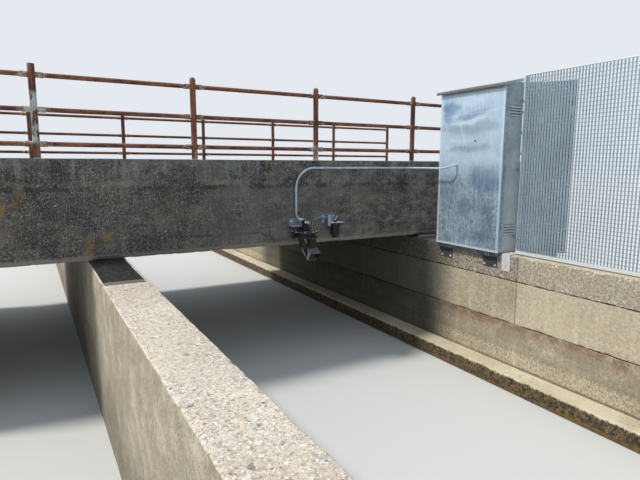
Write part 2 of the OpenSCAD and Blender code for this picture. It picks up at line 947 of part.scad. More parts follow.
// Middle of the conduit's last bend, rising as it turns towards the cabinet by an angle
function entry_point(a) = [tail_x + entry_r * (1 - cos(a)), entry_y + entry_r * (1 - sin(a)),
                           conduit_z + entry_rise * (1 - cos(2 * a)) / 2];

// Direction of that bend at the same angle
function entry_course(a) = [sin(a) * entry_r, -cos(a) * entry_r, entry_rise * sin(2 * a)];

// Ring of points round the conduit at the same angle
function entry_ring(a, n) =
    let (t = entry_course(a) / norm(entry_course(a)),
         u = cross(t, [0, 0, 1]) / norm(cross(t, [0, 0, 1])),
         v = cross(u, t))
    [for (i = [0:n - 1]) entry_point(a) + conduit_d / 2 * (cos(i * 360 / n) * u + sin(i * 360 / n) * v)];

// Last bend of the conduit, swept through rings of points
module conduit_entry() {
    n = 16;
    m = 12;
    points = [for (k = [0:m]) each entry_ring(90 * k / m, n)];
    skin = [for (k = [0:m - 1], i = [0:n - 1])
            [k * n + i, k * n + (i + 1) % n, (k + 1) * n + (i + 1) % n, (k + 1) * n + i]];
    color("whitesmoke")
        polyhedron(points, concat(skin, [[for (i = [0:n - 1]) n - 1 - i], [for (i = [0:n - 1]) m * n + i]]));
}

// Gland with its hexagon nut outside, its thread through the sheet and a lock nut inside
module conduit_gland() {
    color("dimgray")
        translate([cab_x - gland_l, entry_y, conduit_z + entry_rise])
            rotate([0, 90, 0]) {
                cylinder(d = conduit_d + 17, h = gland_l, $fn = 6);
                cylinder(d = conduit_d + 5, h = gland_l + sheet_t);
                translate([0, 0, gland_l + sheet_t])
                    cylinder(d = conduit_d + 13, h = 6, $fn = 6);
            }
}

module conduit_clips() {
    color("silver")
        for (i = [0:2])
            translate([conduit_x + conduit_bend_r + 150 + i * clip_gap, 0, 0])
                difference() {
                    block([-9, conduit_y - conduit_d / 2 - 2, conduit_z - conduit_d / 2 - 8],
                          [9, near_y, conduit_z + conduit_d / 2 + 2]);
                    translate([-10, conduit_y, conduit_z])
                        rotate([0, 90, 0])
                            cylinder(d = conduit_d, h = 20);
                }
}

left_wall();
left_ledge();
left_bearing_course();
right_wall_lower();
right_wall_middle();
right_wall_top();
right_ledge();
right_bearing_course();
left_abutment();
right_abutment();
near_edge_beam();
far_edge_beam();
deck_slab();
near_posts();
near_top_rail();
near_middle_rail();
near_bottom_rail();
far_posts();
far_top_rail();
far_middle_rail();
far_bottom_rail();
cabinet_canal_face();
cabinet_near_side();
cabinet_far_side();
cabinet_floor();
cabinet_door_frame();
cabinet_roof();
cabinet_base_angle();
cabinet_open_door();
cabinet_lock();
cabinet_shut_door();
cabinet_hinges();
cabinet_brackets();
fence_panel();
fence_rods();
fence_posts();
fence_clips();
radar_bracket();
radar_head();
radar_horn();
level_bracket();
level_sensor();
sensor_cable();
conduit();
conduit_entry();
conduit_gland();
conduit_clips();
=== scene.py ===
import math

import bmesh
import bpy
from mathutils import Matrix, Vector, noise


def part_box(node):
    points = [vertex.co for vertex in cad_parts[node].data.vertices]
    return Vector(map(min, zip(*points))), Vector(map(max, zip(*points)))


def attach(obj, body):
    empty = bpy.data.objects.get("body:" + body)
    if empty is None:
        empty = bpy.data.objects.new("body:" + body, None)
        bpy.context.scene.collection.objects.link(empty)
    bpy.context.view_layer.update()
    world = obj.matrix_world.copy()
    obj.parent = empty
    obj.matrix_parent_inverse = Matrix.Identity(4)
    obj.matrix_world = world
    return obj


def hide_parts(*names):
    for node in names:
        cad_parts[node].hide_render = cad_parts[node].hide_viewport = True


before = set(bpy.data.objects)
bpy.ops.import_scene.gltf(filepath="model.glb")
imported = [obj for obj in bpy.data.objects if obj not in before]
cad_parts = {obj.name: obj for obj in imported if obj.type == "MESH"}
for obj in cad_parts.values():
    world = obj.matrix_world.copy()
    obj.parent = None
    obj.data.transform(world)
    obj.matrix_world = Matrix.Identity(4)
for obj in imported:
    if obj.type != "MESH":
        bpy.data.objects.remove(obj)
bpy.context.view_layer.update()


# Camera
# Stands on the left bank, about a metre above the wall's top, and looks past the near
# face of the bridge, turned to the right and a little down.
eye = Vector((-3.0913, -7.8756, 2.4624))
turn, dip, roll = (math.radians(angle) for angle in (29.574, 8.471, 0.2645))
ahead = Vector((math.sin(turn) * math.cos(dip), math.cos(turn) * math.cos(dip), -math.sin(dip)))
level = ahead.cross((0, 0, 1)).normalized()
above = level.cross(ahead)
lens = bpy.data.cameras.new("eye")
lens.sensor_width = 36
lens.lens = 28.974
camera = bpy.data.objects.new("eye", lens)
rightwards = level * math.cos(roll) + above * math.sin(roll)
upwards = above * math.cos(roll) - level * math.sin(roll)
turned = Matrix((rightwards, upwards, -ahead)).transposed().to_4x4()
camera.matrix_world = Matrix.Translation(eye) @ turned
scene = bpy.context.scene
scene.collection.objects.link(camera)
scene.camera = camera
scene.view_settings.view_transform = "Standard"


# Finishes
# Every surface gets a node material on the piece's own coordinates. A Plan draws up a node
# tree, a Value stands for one socket in a sum, and a Finish is the plan of one material.
class Value:
    """One socket of a plan. An operator on it adds the Math node that works it out."""

    def __init__(self, plan, socket):
        self.plan, self.socket = plan, socket

    def worked(self, operation, first, second=0.0):
        return self.plan.node("ShaderNodeMath", {0: first, 1: second}, operation=operation)

    def __add__(self, other):
        return self.worked("ADD", self, other)

    def __radd__(self, other):
        return self.worked("ADD", other, self)

    def __sub__(self, other):
        return self.worked("SUBTRACT", self, other)

    def __rsub__(self, other):
        return self.worked("SUBTRACT", other, self)

    def __mul__(self, other):
        return self.worked("MULTIPLY", self, other)

    def __truediv__(self, other):
        return self.worked("DIVIDE", self, other)

    def off(self, place):
        """Distance from a place, to either side of it."""
        return self.worked("ABSOLUTE", self - place)

    def step(self, low, high):
        """Rises smoothly from 0 at low to 1 at high, or falls where low is the greater."""
        return self.plan.node("ShaderNodeMapRange", {0: self, 1: low, 2: high, 3: 0.0, 4: 1.0},
                              interpolation_type="SMOOTHSTEP")


def card(red, green, blue):
    """A colour as read off a paint card, 0 to 255, in the linear values of a shader."""
    return tuple(((c / 255 + 0.055) / 1.055) ** 2.4 for c in (red, green, blue)) + (1.0,)


class Plan:
    """A node tree that is drawn up from nothing."""

    def __init__(self, tree):
        self.tree = tree
        tree.nodes.clear()

    def node(self, kind, sockets, out=0, **settings):
        """Adds a node with its settings and the values or links of its sockets."""
        made = self.tree.nodes.new(kind)
        for name, setting in settings.items():
            setattr(made, name, setting)
        for name, value in sockets.items():
            if isinstance(value, Value):
                self.tree.links.new(value.socket, made.inputs[name])
            else:
                made.inputs[name].default_value = value
        if isinstance(out, tuple):
            return tuple(Value(self, made.outputs[each]) for each in out)
        return Value(self, made.outputs[out])


class Finish(Plan):
    """A material whose colour, roughness and height are built up and then sealed."""

    def __init__(self, name, colour=None):
        self.material = bpy.data.materials.new(name)
        self.material.use_nodes = True
        self.colour, self.rough, self.height = colour, None, None
        super().__init__(self.material.node_tree)
        self.place = self.node("ShaderNodeTexCoord", {}, "Object")
        self.x, self.y, self.z = self.node("ShaderNodeSeparateXYZ", {0: self.place}, (0, 1, 2))

    def facing(self):
        """How far the surface faces along X, Y and Z."""
        normal = self.node("ShaderNodeNewGeometry", {}, "Normal")
        return self.node("ShaderNodeSeparateXYZ", {0: normal}, (0, 1, 2))

    def cloud(self, size, detail=4.0, rough=0.6, stretch=None, place=None):
        """Soft blotches of about that size in metres, from 0 to 1. They run longer where the
        stretch is under 1."""
        place = place or self.place
        if stretch:
            place = self.node("ShaderNodeVectorMath", {0: place, 1: stretch}, operation="MULTIPLY")
        return self.node("ShaderNodeTexNoise", {"Vector": place, "Scale": 1 / size,
                                                "Detail": detail, "Roughness": rough})

    def cells(self, size):
        """Uneven grains of that size: how far from a grain's middle, and a tone for each."""
        sway = self.node("ShaderNodeTexNoise", {"Vector": self.place, "Scale": 1.4 / size,
                                                "Detail": 2.0}, "Color")
        bent = self.node("ShaderNodeVectorMath", {0: sway, 1: (size * 1.6,) * 3, 2: self.place},
                         operation="MULTIPLY_ADD")
        apart, tint = self.node("ShaderNodeTexVoronoi", {"Vector": bent, "Scale": 1 / size},
                                ("Distance", "Color"))
        return apart, self.node("ShaderNodeSeparateColor", {0: tint})

    def mix(self, mask, first, second, blend="MIX"):
        """Two colours, each a Value or the three numbers of a paint card, in one."""
        first, second = (c if isinstance(c, Value) else card(*c) for c in (first, second))
        return self.node("ShaderNodeMix", {0: mask, 6: first, 7: second}, 2,
                         data_type="RGBA", blend_type=blend)

    def over(self, mask, colour):
        """Lays one more colour over the finish where the mask says."""
        self.colour = self.mix(mask, self.colour, colour)

    def seal(self, depth=0.0, metal=0.0, rough=None, height=None):
        """Ends the material with a shader, and with relief of that depth in metres."""
        rough, height = rough or self.rough, height or self.height
        sockets = {"Base Color": self.colour, "Roughness": rough, "Metallic": metal}
        if height:
            sockets["Normal"] = self.node("ShaderNodeBump", {"Distance": depth, "Height": height})
        shader = self.node("ShaderNodeBsdfPrincipled", sockets)
        self.node("ShaderNodeOutputMaterial", {0: shader}, ())
        return self.material


# Floor and light
# A pale plain floor at the water's level, an even pale surround, and one soft lamp from
# high on the left, a little behind the bridge, which leaves its near face in shade.
def mesh_of(name, points, faces=()):
    mesh = bpy.data.meshes.new(name)
    mesh.from_pydata(points, [], faces)
    return mesh


def show(name, mesh, material=None):
    """Puts a mesh in the scene as a piece, with its material where it has none of its own."""
    piece = bpy.data.objects.new(name, mesh)
    scene.collection.objects.link(piece)
    if material:
        mesh.materials.append(material)
    return piece


floor_reach, floor_drop = 150, 0.002
floor_mesh = mesh_of("floor", [(x * floor_reach, y * floor_reach, -floor_drop)
                               for x, y in ((-1, -1), (1, -1), (1, 1), (-1, 1))], [(0, 1, 2, 3)])
show("floor", floor_mesh, Finish("pale_floor", card(214, 215, 212)).seal(rough=0.9))

sun = bpy.data.lights.new("key", "SUN")
sun.energy = 2.7
sun.angle = math.radians(7)
sun.color = (1.0, 0.96, 0.9)
key = bpy.data.objects.new("key", sun)
key.rotation_euler = Vector((0.62, -0.14, -0.77)).to_track_quat("-Z", "Y").to_euler()
scene.collection.objects.link(key)

surround = bpy.data.worlds.new("surround")
surround.use_nodes = True
scene.world = surround
sky = Plan(surround.node_tree)
seen = sky.node("ShaderNodeLightPath", {},
                ("Is Camera Ray", "Is Glossy Ray", "Is Transmission Ray"))
shown = sky.node("ShaderNodeBackground", {0: card(228, 234, 240), 1: 1.0})
fill = sky.node("ShaderNodeBackground", {0: card(226, 238, 255), 1: 0.66})
either = sky.node("ShaderNodeMixShader", {0: seen[0] + seen[1] + seen[2], 1: fill, 2: shown})
sky.node("ShaderNodeOutputWorld", {0: either}, ())


# Left canal wall
# One cast concrete wall with a bleached top whose skin has worn off the stones, and chipped
# edges. The mesh is swept from its section, and its faces and edges are worn in steps.
def sweep(name, section, axis, start, end, worn, wear, patch=0.05, relief=0.003):
    """Block of cast concrete: a section in (across, up), swept along X or Y. The corners
    numbered in worn lose up to wear metres, and the skin is uneven by relief."""
    row_step, near_corner, reach = 0.03, (0.008, 0.02, 0.04), 0.07
    swells, chips, nicks = 2.2, 5, 17  # waves of the noise in a metre
    sharp = math.radians(38)
    outline = []
    for number, (a, b) in enumerate(zip(section, section[1:] + section[:1])):
        a, b = Vector(a), Vector(b)
        length = (b - a).length
        parts = max(1, round(length / patch))
        cuts = {round(i * length / parts, 4) for i in range(parts)}
        in_reach = [d for d in near_corner if d < length / 2]
        cuts |= {d for d in in_reach if number in worn}
        cuts |= {length - d for d in in_reach if (number + 1) % len(section) in worn}
        along = (b - a).normalized()
        outline += [(a + along * cut, Vector((along.y, -along.x))) for cut in sorted(cuts)]
    area = sum(a[0] * b[1] - b[0] * a[1] for a, b in zip(section, section[1:] + section[:1]))
    outwards = 1 if area > 0 else -1
    corners = [Vector(section[number]) for number in worn]
    rows = max(2, round((end - start) / row_step)) + 1
    points = []
    for row in range(rows):
        run = start + (end - start) * row / (rows - 1)
        for i, (spot, normal) in enumerate(outline):
            facing = (normal + outline[i - 1][1]).normalized() * outwards
            here = Vector((run, spot.x, spot.y))
            sink = relief * (0.5 + 0.5 * noise.fractal(here * swells, 1.0, 2.0, 4))
            away = min((spot - corner).length for corner in corners) if corners else reach
            if away < reach:
                chip = max(0, noise.noise(here * chips))
                chip += 1.4 * max(0, noise.noise(here * nicks) - 0.1)
                sink += wear * (0.15 + chip) * (1 - away / reach) ** 2
            put = spot - facing * max(0, sink)
            points.append((run, put.x, put.y) if axis == "x" else (put.x, run, put.y))
    size = len(outline)
    around = [(i, (i + 1) % size) for i in range(size)]
    faces = [(r * size + i, r * size + j, (r + 1) * size + j, (r + 1) * size + i)
             for r in range(rows - 1) for i, j in around]
    faces += [tuple(range(size)), tuple((rows - 1) * size + i for i in range(size))]
    mesh = mesh_of(name, points, faces)
    shell = bmesh.new()
    shell.from_mesh(mesh)
    bmesh.ops.recalc_face_normals(shell, faces=shell.faces)
    shell.to_mesh(mesh)
    shell.free()
    mesh.shade_smooth()
    mesh.set_sharp_from_angle(angle=sharp)
    return mesh


def cast(node, finish, *swept, **more):
    """Sweeps a block, which rides on the bridge and stands for that part of the frame. The
    rest is what sweep takes."""
    piece = show(node + "_cast", sweep(node + "_cast", *swept, **more), finish)
    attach(piece, "bridge")
    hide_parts(node)


def concrete(name, pale, dark, stone_pale, stone_dark, bare, stone):
    """Cement skin over stones, worn through where bare says."""
    mixed = Finish(name)
    cloud = mixed.cloud(0.8, 7, 0.62)
    grain = mixed.cloud(0.012, 4, 0.7)
    apart, tone = mixed.cells(stone)
    skin = mixed.mix(cloud.step(0.34, 0.66), dark, pale)
    skin = mixed.mix(grain.step(0.35, 0.8) * 0.5, skin, dark, "MULTIPLY")
    stones = mixed.mix(tone.step(0.25, 0.8), stone_dark, stone_pale)
    worn = mixed.cloud(0.3, 6, 0.65).step(0.62 - bare * 0.3, 0.74 - bare * 0.3)
    showing = apart.step(0.5, 0.3) * worn * (0.25 + 0.75 * bare)
    mixed.colour, mixed.rough = mixed.mix(showing, skin, stones), 0.93
    mixed.height = showing * 0.6 + grain * 0.5 - worn * 0.5
    return mixed


def box_of(node):
    low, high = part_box(node)
    return (*low, *high)


arris = 0.012
wall_x0, wall_y0, wall_z0, wall_x1, wall_y1, wall_z1 = box_of("left_wall")
wall_section = [(wall_x0, wall_z0), (wall_x1, wall_z0), (wall_x1, wall_z1 - arris),
                (wall_x1 - arris, wall_z1), (wall_x0 + arris, wall_z1), (wall_x0, wall_z1 - arris)]
smooth_x, smooth_y = -2.36, -5.15

bleached = concrete("bleached_concrete", (240, 228, 208), (210, 195, 175),
                    (250, 244, 230), (166, 150, 132), bare=0.8, stone=0.022)
tan = bleached.cloud(0.4, 6, 0.65).step(0.46, 0.64)
bleached.over(tan * 0.4, (184, 165, 146))
chalk = bleached.cloud(0.05, 6, 0.78).step(0.5, 0.57)
bleached.over(chalk * 0.6, (250, 246, 234))
specks = bleached.cloud(0.022, 6, 0.85)
bleached.over(specks.step(0.46, 0.36) * 0.75, (122, 106, 90))
bleached.over(specks.step(0.52, 0.62) * 0.75, (254, 251, 242))
side = bleached.facing()[2].step(0.6, 0.3)
flank_cloud = bleached.cloud(0.3, 6, 0.7).step(0.4, 0.62)
flank_tone = bleached.mix(flank_cloud, (156, 146, 124), (194, 184, 160))
flank_tone = bleached.mix(specks.step(0.44, 0.3) * 0.6, flank_tone, (100, 91, 76))
flank_tone = bleached.mix(specks.step(0.55, 0.7) * 0.45, flank_tone, (224, 216, 198))
bleached.over(side * 0.9, flank_tone)
bleached.over(side * bleached.z.step(0.9, 0.2) * 0.6, (96, 88, 70))
pit = bleached.cloud(0.045, 2, 0.4).step(0.33, 0.27) * (1 - side)
bleached.over(pit * 0.6, (84, 76, 66))
smooth_patch = bleached.y.off(smooth_y).step(0.42, 0.22)
smooth_patch *= bleached.x.step(smooth_x, smooth_x - 0.1)
smooth_patch *= 1 - side
bleached.over(smooth_patch * 0.5, (232, 222, 200))
bleached_finish = bleached.seal(0.004, height=bleached.height + chalk * 0.5 - pit * 1.2)
cast("left_wall", bleached_finish, wall_section, "y", wall_y0, wall_y1, (2, 3, 4, 5), 0.009)


# Stones in the worn top
# River gravel up to 12 mm wide that stands a little proud of the cement where the top is
# worn. The points are strewn over the near part of the wall, one low pebble on each.
def tree_of(name, *sizes):
    """New geometry plan with seeds in and fixings out, and a named input for each size."""
    tree = bpy.data.node_groups.new(name, "GeometryNodeTree")
    tree.interface.new_socket("Seeds", in_out="INPUT", socket_type="NodeSocketGeometry")
    for size in sizes:
        tree.interface.new_socket(size, in_out="INPUT", socket_type="NodeSocketFloat")
    tree.interface.new_socket("Made", in_out="OUTPUT", socket_type="NodeSocketGeometry")
    plan = Plan(tree)
    return plan, plan.node("NodeGroupInput", {}, tuple(range(len(sizes) + 1)))


def closed_tree(plan, geometry, material):
    """Ends a geometry plan: real geometry instead of instances, with its material."""
    real = plan.node("GeometryNodeRealizeInstances", {0: geometry})
    done = plan.node("GeometryNodeSetMaterial", {"Geometry": real, "Material": material})
    plan.node("NodeGroupOutput", {0: done}, ())
    return plan.tree


def grown(name, seeds, tree, **sizes):
    """Runs a geometry plan on a seed mesh and keeps the plain mesh that comes of it, as a
    piece that rides on the bridge."""
    piece = show(name, seeds)
    growth = piece.modifiers.new("growth", "NODES")
    growth.node_group = tree
    for item in tree.interface.items_tree:
        if item.in_out == "INPUT" and item.name in sizes:
            growth[item.identifier] = sizes[item.name]
    solid = piece.evaluated_get(bpy.context.evaluated_depsgraph_get())
    mesh = bpy.data.meshes.new_from_object(solid)
    piece.modifiers.remove(growth)
    piece.data = mesh
    mesh.name = name
    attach(piece, "bridge")


gravel = Finish("river_gravel")
_, tone = gravel.cells(0.018)
gravel.colour = gravel.mix(tone.step(0.2, 0.85), (176, 164, 146), (238, 230, 214))
gravel_finish = gravel.seal(0.001, rough=0.8, height=gravel.cloud(0.004, 3))
plan, (seeds, density, least, most) = tree_of("strewn_gravel", "Density", "Least", "Most")
strewn = plan.node("GeometryNodeDistributePointsOnFaces",
                   {"Mesh": seeds, "Density": density, "Seed": 4})
pebble = plan.node("GeometryNodeMeshIcoSphere", {"Radius": 1.0, "Subdivisions": 1})
spin = plan.node("FunctionNodeRandomValue", {"Min": (-0.3, -0.3, 0.0), "Max": (0.3, 0.3, 6.28),
                                             "Seed": 5}, data_type="FLOAT_VECTOR")
swell = plan.node("FunctionNodeRandomValue", {2: least, 3: most, "Seed": 6}, 1, data_type="FLOAT")
shape = plan.node("ShaderNodeCombineXYZ", {0: swell, 1: swell * 0.72, 2: swell * 0.4})
laid = plan.node("GeometryNodeInstanceOnPoints", {"Points": strewn, "Instance": pebble,
                                                  "Rotation": spin, "Scale": shape})
gravel_tree = closed_tree(plan, laid, gravel_finish)
gravel_end, gravel_z, inset = -3.5, wall_z1 - 0.0035, 0.02
bed_x0, bed_x1, bed_y0 = wall_x0 + inset, wall_x1 - inset, wall_y0 + inset
bed = mesh_of("gravel_bed", [(bed_x0, bed_y0, gravel_z), (bed_x1, bed_y0, gravel_z),
                             (bed_x1, gravel_end, gravel_z), (bed_x0, gravel_end, gravel_z)],
              [(0, 1, 2, 3)])
grown("left_wall_gravel", bed, gravel_tree, Density=5200.0, Least=0.0025, Most=0.006)


# Right canal wall
# Three lifts of concrete cast one on another, with cracked and spalled joints between them.
# The top lift is rougher, with lichen; a rust brown band runs under the lower joint.
inner_x, lift_y0, _, outer_x, lift_y1, lower_joint = box_of("right_wall_lower")
_, _, upper_joint, _, _, top_z = box_of("right_wall_top")
upright_y, flood_z, foot_z = -4.085, 0.5, 0.215
damp_shade_from, damp_shade_full = 3.35, 2.7

sunlit = concrete("sunlit_wall_concrete", (200, 189, 163), (174, 162, 138),
                  (214, 205, 184), (120, 110, 92), bare=0.35, stone=0.018)
grain = sunlit.cloud(0.014, 4, 0.8)
sunlit.over(grain.step(0.46, 0.34) * 0.7, (104, 93, 75))
sunlit.over(grain.step(0.55, 0.68) * 0.6, (240, 232, 212))
coarse = sunlit.cloud(0.036, 5, 0.8)
sunlit.over(coarse.step(0.48, 0.37) * 0.55, (112, 100, 80))
sunlit.over(coarse.step(0.53, 0.63) * 0.5, (226, 216, 192))
wander = sunlit.cloud(0.18, 4, 0.6) * 0.03 + sunlit.cloud(0.03, 4, 0.7) * 0.014 - 0.022
joint_z = sunlit.z + wander * 0.5
top_lift = joint_z.step(upper_joint - 0.004, upper_joint + 0.004)
drips = sunlit.cloud(0.09, 4, 0.6, stretch=(1, 1, 0.07))
sunlit.over(drips.step(0.5, 0.72) * joint_z.step(1.12, 0.8) * 0.45, (222, 211, 182))
sunlit.over(drips.step(0.5, 0.3) * joint_z.step(0.7, 1.1) * 0.35, (138, 124, 100))
rough_cloud = sunlit.cloud(0.026, 6, 0.85).step(0.4, 0.6)
sunlit.over(top_lift * 0.84, sunlit.mix(rough_cloud, (70, 63, 52), (184, 176, 158)))
lichen = sunlit.cloud(0.32, 7, 0.7).step(0.56, 0.66) * top_lift
sunlit.over(lichen * 0.6, (158, 116, 56))
apart, tone = sunlit.cells(0.026)
band = joint_z.step(upper_joint + 0.09, upper_joint + 0.02)
band += joint_z.step(top_z - 0.1, top_z - 0.02)
pebbles = apart.step(0.46, 0.32) * tone.step(0.74, 0.8) * (band * 0.7 + 0.35) * top_lift
sunlit.over(pebbles * 0.85, (232, 229, 220))
dark_pebbles = apart.step(0.42, 0.3) * tone.step(0.16, 0.1) * (band * 0.6 + 0.2) * top_lift
sunlit.over(dark_pebbles * 0.7, (70, 62, 52))
# Upward faces painted lighter: painted sunlight on the tops of the lifts.
sunlit.over(sunlit.facing()[2].step(0.5, 0.9) * 0.5, (214, 202, 176))
below = joint_z.step(lower_joint + 0.004, lower_joint - 0.004)
brown = below * joint_z.step(lower_joint - 0.2, lower_joint - 0.02)
brown *= sunlit.cloud(0.25, 6, 0.7).step(0.3, 0.58)
sunlit.over(brown * 0.8, (112, 78, 58))
grey_band = below * joint_z.off(flood_z).step(0.12, 0.03) * sunlit.cloud(0.4, 5).step(0.35, 0.6)
sunlit.over(grey_band * 0.55, (120, 110, 92))
flooded = joint_z.step(flood_z, flood_z - 0.18)
scoured = flooded * sunlit.cloud(0.024, 5, 0.8)
sunlit.over(scoured.step(0.5, 0.4) * flooded * 0.6, (98, 91, 74))
sunlit.over(scoured.step(0.52, 0.64) * 0.35, (226, 221, 204))
upright_joint = (sunlit.y + wander * 0.6).off(upright_y)
# Under the bridge the wall is made much darker: painted shade of the bridge, together with damp.
damp_and_shade = sunlit.y.step(-damp_shade_from, -damp_shade_full) * sunlit.y.step(damp_shade_from, damp_shade_full)
sunlit.over(damp_and_shade * 0.78, (44, 48, 43))
older = (sunlit.y + wander).step(upright_y + 0.01, upright_y - 0.01)
older *= joint_z.step(lower_joint - 0.002, lower_joint + 0.004)
sunlit.over(older * 0.22, (222, 210, 180))
cracks = joint_z.off(upper_joint).step(0.01, 0.003) * sunlit.cloud(0.1, 5, 0.75).step(0.4, 0.56)
lower_crack = joint_z.off(lower_joint).step(0.008, 0.003)
cracks += lower_crack * sunlit.cloud(0.14, 5, 0.75).step(0.46, 0.6)
cracks += upright_joint.step(0.006, 0.002) * joint_z.step(lower_joint, lower_joint + 0.01) * 0.8
# A dark band at the foot of the wall, just above the ledge: painted shade in the corner.
sunlit.over(joint_z.step(foot_z, foot_z - 0.025) * 0.7, (92, 84, 66))
sunlit.over(cracks * 0.85, (52, 44, 34))
relief = sunlit.height - cracks * 2.0 + top_lift * sunlit.cloud(0.03, 5, 0.7)
sunlit_finish = sunlit.seal(0.005, height=relief)
spall = 0.003
spalled_x = inner_x + spall
lifts = {
    "right_wall_lower": ([(inner_x, 0), (outer_x, 0), (outer_x, lower_joint),
                          (spalled_x, lower_joint), (inner_x, lower_joint - spall)], (3, 4)),
    "right_wall_middle": ([(spalled_x, lower_joint), (outer_x, lower_joint),
                           (outer_x, upper_joint), (spalled_x, upper_joint),
                           (inner_x, upper_joint - spall), (inner_x, lower_joint + spall)],
                          (0, 3, 4, 5)),
    "right_wall_top": ([(spalled_x, upper_joint), (outer_x, upper_joint),
                        (outer_x, top_z - arris), (outer_x - arris, top_z),
                        (inner_x + arris, top_z), (inner_x, top_z - arris),
                        (inner_x, upper_joint + spall)], (0, 2, 3, 4, 5, 6)),
}
for node, (section, worn) in lifts.items():
    cast(node, sunlit_finish, section, "y", lift_y0, lift_y1, worn, 0.009)


# Ledges at the water
# A low concrete step along the foot of each wall. Its top is bright and dry, and its face
# is dark with algae down to a golden brown tide line.
algae_top, algae_soft = 0.172, 0.024
ledge_mix = concrete("ledge_concrete", (228, 219, 194), (198, 187, 160),
                     (224, 215, 190), (124, 112, 90), bare=0.4, stone=0.02)
shore = ledge_mix.z + ledge_mix.cloud(0.06, 5, 0.7) * 0.07 - 0.035
algae_cloud = ledge_mix.cloud(0.03, 6, 0.75).step(0.4, 0.62)
ledge_mix.over(shore.step(algae_top, algae_top - algae_soft),
               ledge_mix.mix(algae_cloud, (40, 34, 25), (120, 103, 70)))
tide = shore.step(0.05, 0.02) * ledge_mix.cloud(0.3, 5, 0.7).step(0.36, 0.6)
ledge_mix.over(tide * 0.75, (112, 82, 42))
ledge_finish = ledge_mix.seal(0.006, rough=0.85)
for node, flip in (("left_ledge", 1), ("right_ledge", -1)):
    x0, y0, z0, x1, y1, z1 = box_of(node)
    back, lip = (x0, x1) if flip > 0 else (x1, x0)
    section = [(back, z0), (lip, z0), (lip, z1 - arris), (lip - flip * arris, z1), (back, z1)]
    cast(node, ledge_finish, section, "y", y0, y1, (2, 3), 0.02, patch=0.04)


# Bearing courses, deck and end walls
# Thin mortar courses under the beams, painted nearly black as painted shade of the beams,
# with their fronts painted pale as painted light. The deck slab between the beams and the
# walls under the ends of the bridge are of plain grey concrete.
plain = concrete("plain_grey_concrete", (150, 146, 136), (112, 108, 98),
                 (176, 170, 158), (82, 78, 70), bare=0.35, stone=0.02)
stains = plain.cloud(0.3, 6, 0.65, stretch=(1, 1, 0.3)).step(0.55, 0.7)
plain.over(stains * 0.5, (92, 86, 74))
plain_finish = plain.seal(0.004)
# Nearly black: painted shade of the beam over the course.
bearing = concrete("dark_bearing_concrete", (14, 14, 14), (6, 6, 6),
                   (96, 94, 90), (4, 4, 4), bare=0.5, stone=0.024)
bearing.over(bearing.cloud(0.03, 5, 0.8).step(0.54, 0.64) * 0.6, (104, 106, 108))
# Faces toward the camera's side painted pale: painted sunlight on the course fronts.
bearing.over(bearing.facing()[1].step(-0.3, -0.8) * 0.8, (176, 170, 158))
bearing_finish = bearing.seal(0.004, rough=0.94)
for node in ("left_bearing_course", "right_bearing_course", "left_abutment", "right_abutment",
             "deck_slab"):
    finish = bearing_finish if "bearing" in node else plain_finish
    x0, y0, z0, x1, y1, z1 = box_of(node)
    axis, start, end, a, b = "y", y0, y1, x0, x1
    if node == "deck_slab":
        axis, start, end, a, b = "x", x0, x1, y0, y1
    section = [(a, z0), (b, z0), (b, z1), (a, z1)]
    cast(node, finish, section, axis, start, end, (2, 3), 0.006, relief=0.0015)


# Edge beams
# Deep cast beams with a bevelled lower edge. Years of rain have blackened them and washed
# the cement from black and white stones, with a smoother skin left in patches.
beam_x0, beam_y0, beam_z0, beam_x1, beam_y1, beam_z1 = box_of("near_edge_beam")
bevel = 0.045
skin_x, ochre_x = -0.55, -2.5
black = concrete("blackened_concrete", (118, 115, 108), (80, 77, 72),
                 (150, 146, 138), (42, 40, 36), bare=0.75, stone=0.014)
laitance = black.cloud(0.6, 9, 0.66, stretch=(0.8, 1, 1.3)).step(0.5, 0.57)
black.over(laitance * 0.5, (124, 120, 110))
tanned = black.cloud(0.45, 7, 0.68, stretch=(0.7, 1, 1.2)).step(0.48, 0.6)
black.over(tanned * 0.45, (112, 102, 86))
soot = black.cloud(0.3, 8, 0.7).step(0.46, 0.62) * (1 - laitance * 0.8)
black.over(soot * 0.6, (50, 47, 43))
grit = black.cloud(0.02, 5, 0.8)
calm = 1 - laitance * 0.35 - black.x.step(-0.7, 0.3) * 0.25
black.over(grit.step(0.49, 0.38) * calm * 0.9, (30, 28, 27))
black.over(grit.step(0.54, 0.64) * calm * 0.75, (164, 162, 156))
brushed = black.cloud(0.035, 5, 0.65, stretch=(1, 1, 0.12))
black.over(brushed.step(0.5, 0.36) * 0.35, (46, 45, 43))
black.over(brushed.step(0.54, 0.7) * 0.3, (134, 135, 133))
for size, share in ((0.011, 0.9), (0.019, 0.96)):
    apart, tone = black.cells(size)
    white_stone = apart.step(0.42, 0.22) * tone.step(share, share + 0.03)
    black.over(white_stone * calm * 0.75, (214, 211, 203))
smeared = black.cloud(0.11, 7, 0.74, stretch=(0.6, 1, 1.1))
washed = 0.35 + black.x.step(-1.6, -0.4) * 0.65
black.over(smeared.step(0.48, 0.38) * washed * 0.5, (40, 39, 37))
black.over(smeared.step(0.5, 0.62) * washed * 0.6, (138, 137, 130))
smooth_skin = black.x.off(skin_x).step(0.95, 0.7) * black.z.step(beam_z1 - 0.3, beam_z1 - 0.34)
smooth_skin *= black.cloud(0.35, 6, 0.6).step(0.36, 0.5)
black.over(smooth_skin * 0.45, (110, 108, 101))
from_top = beam_z1 - black.z
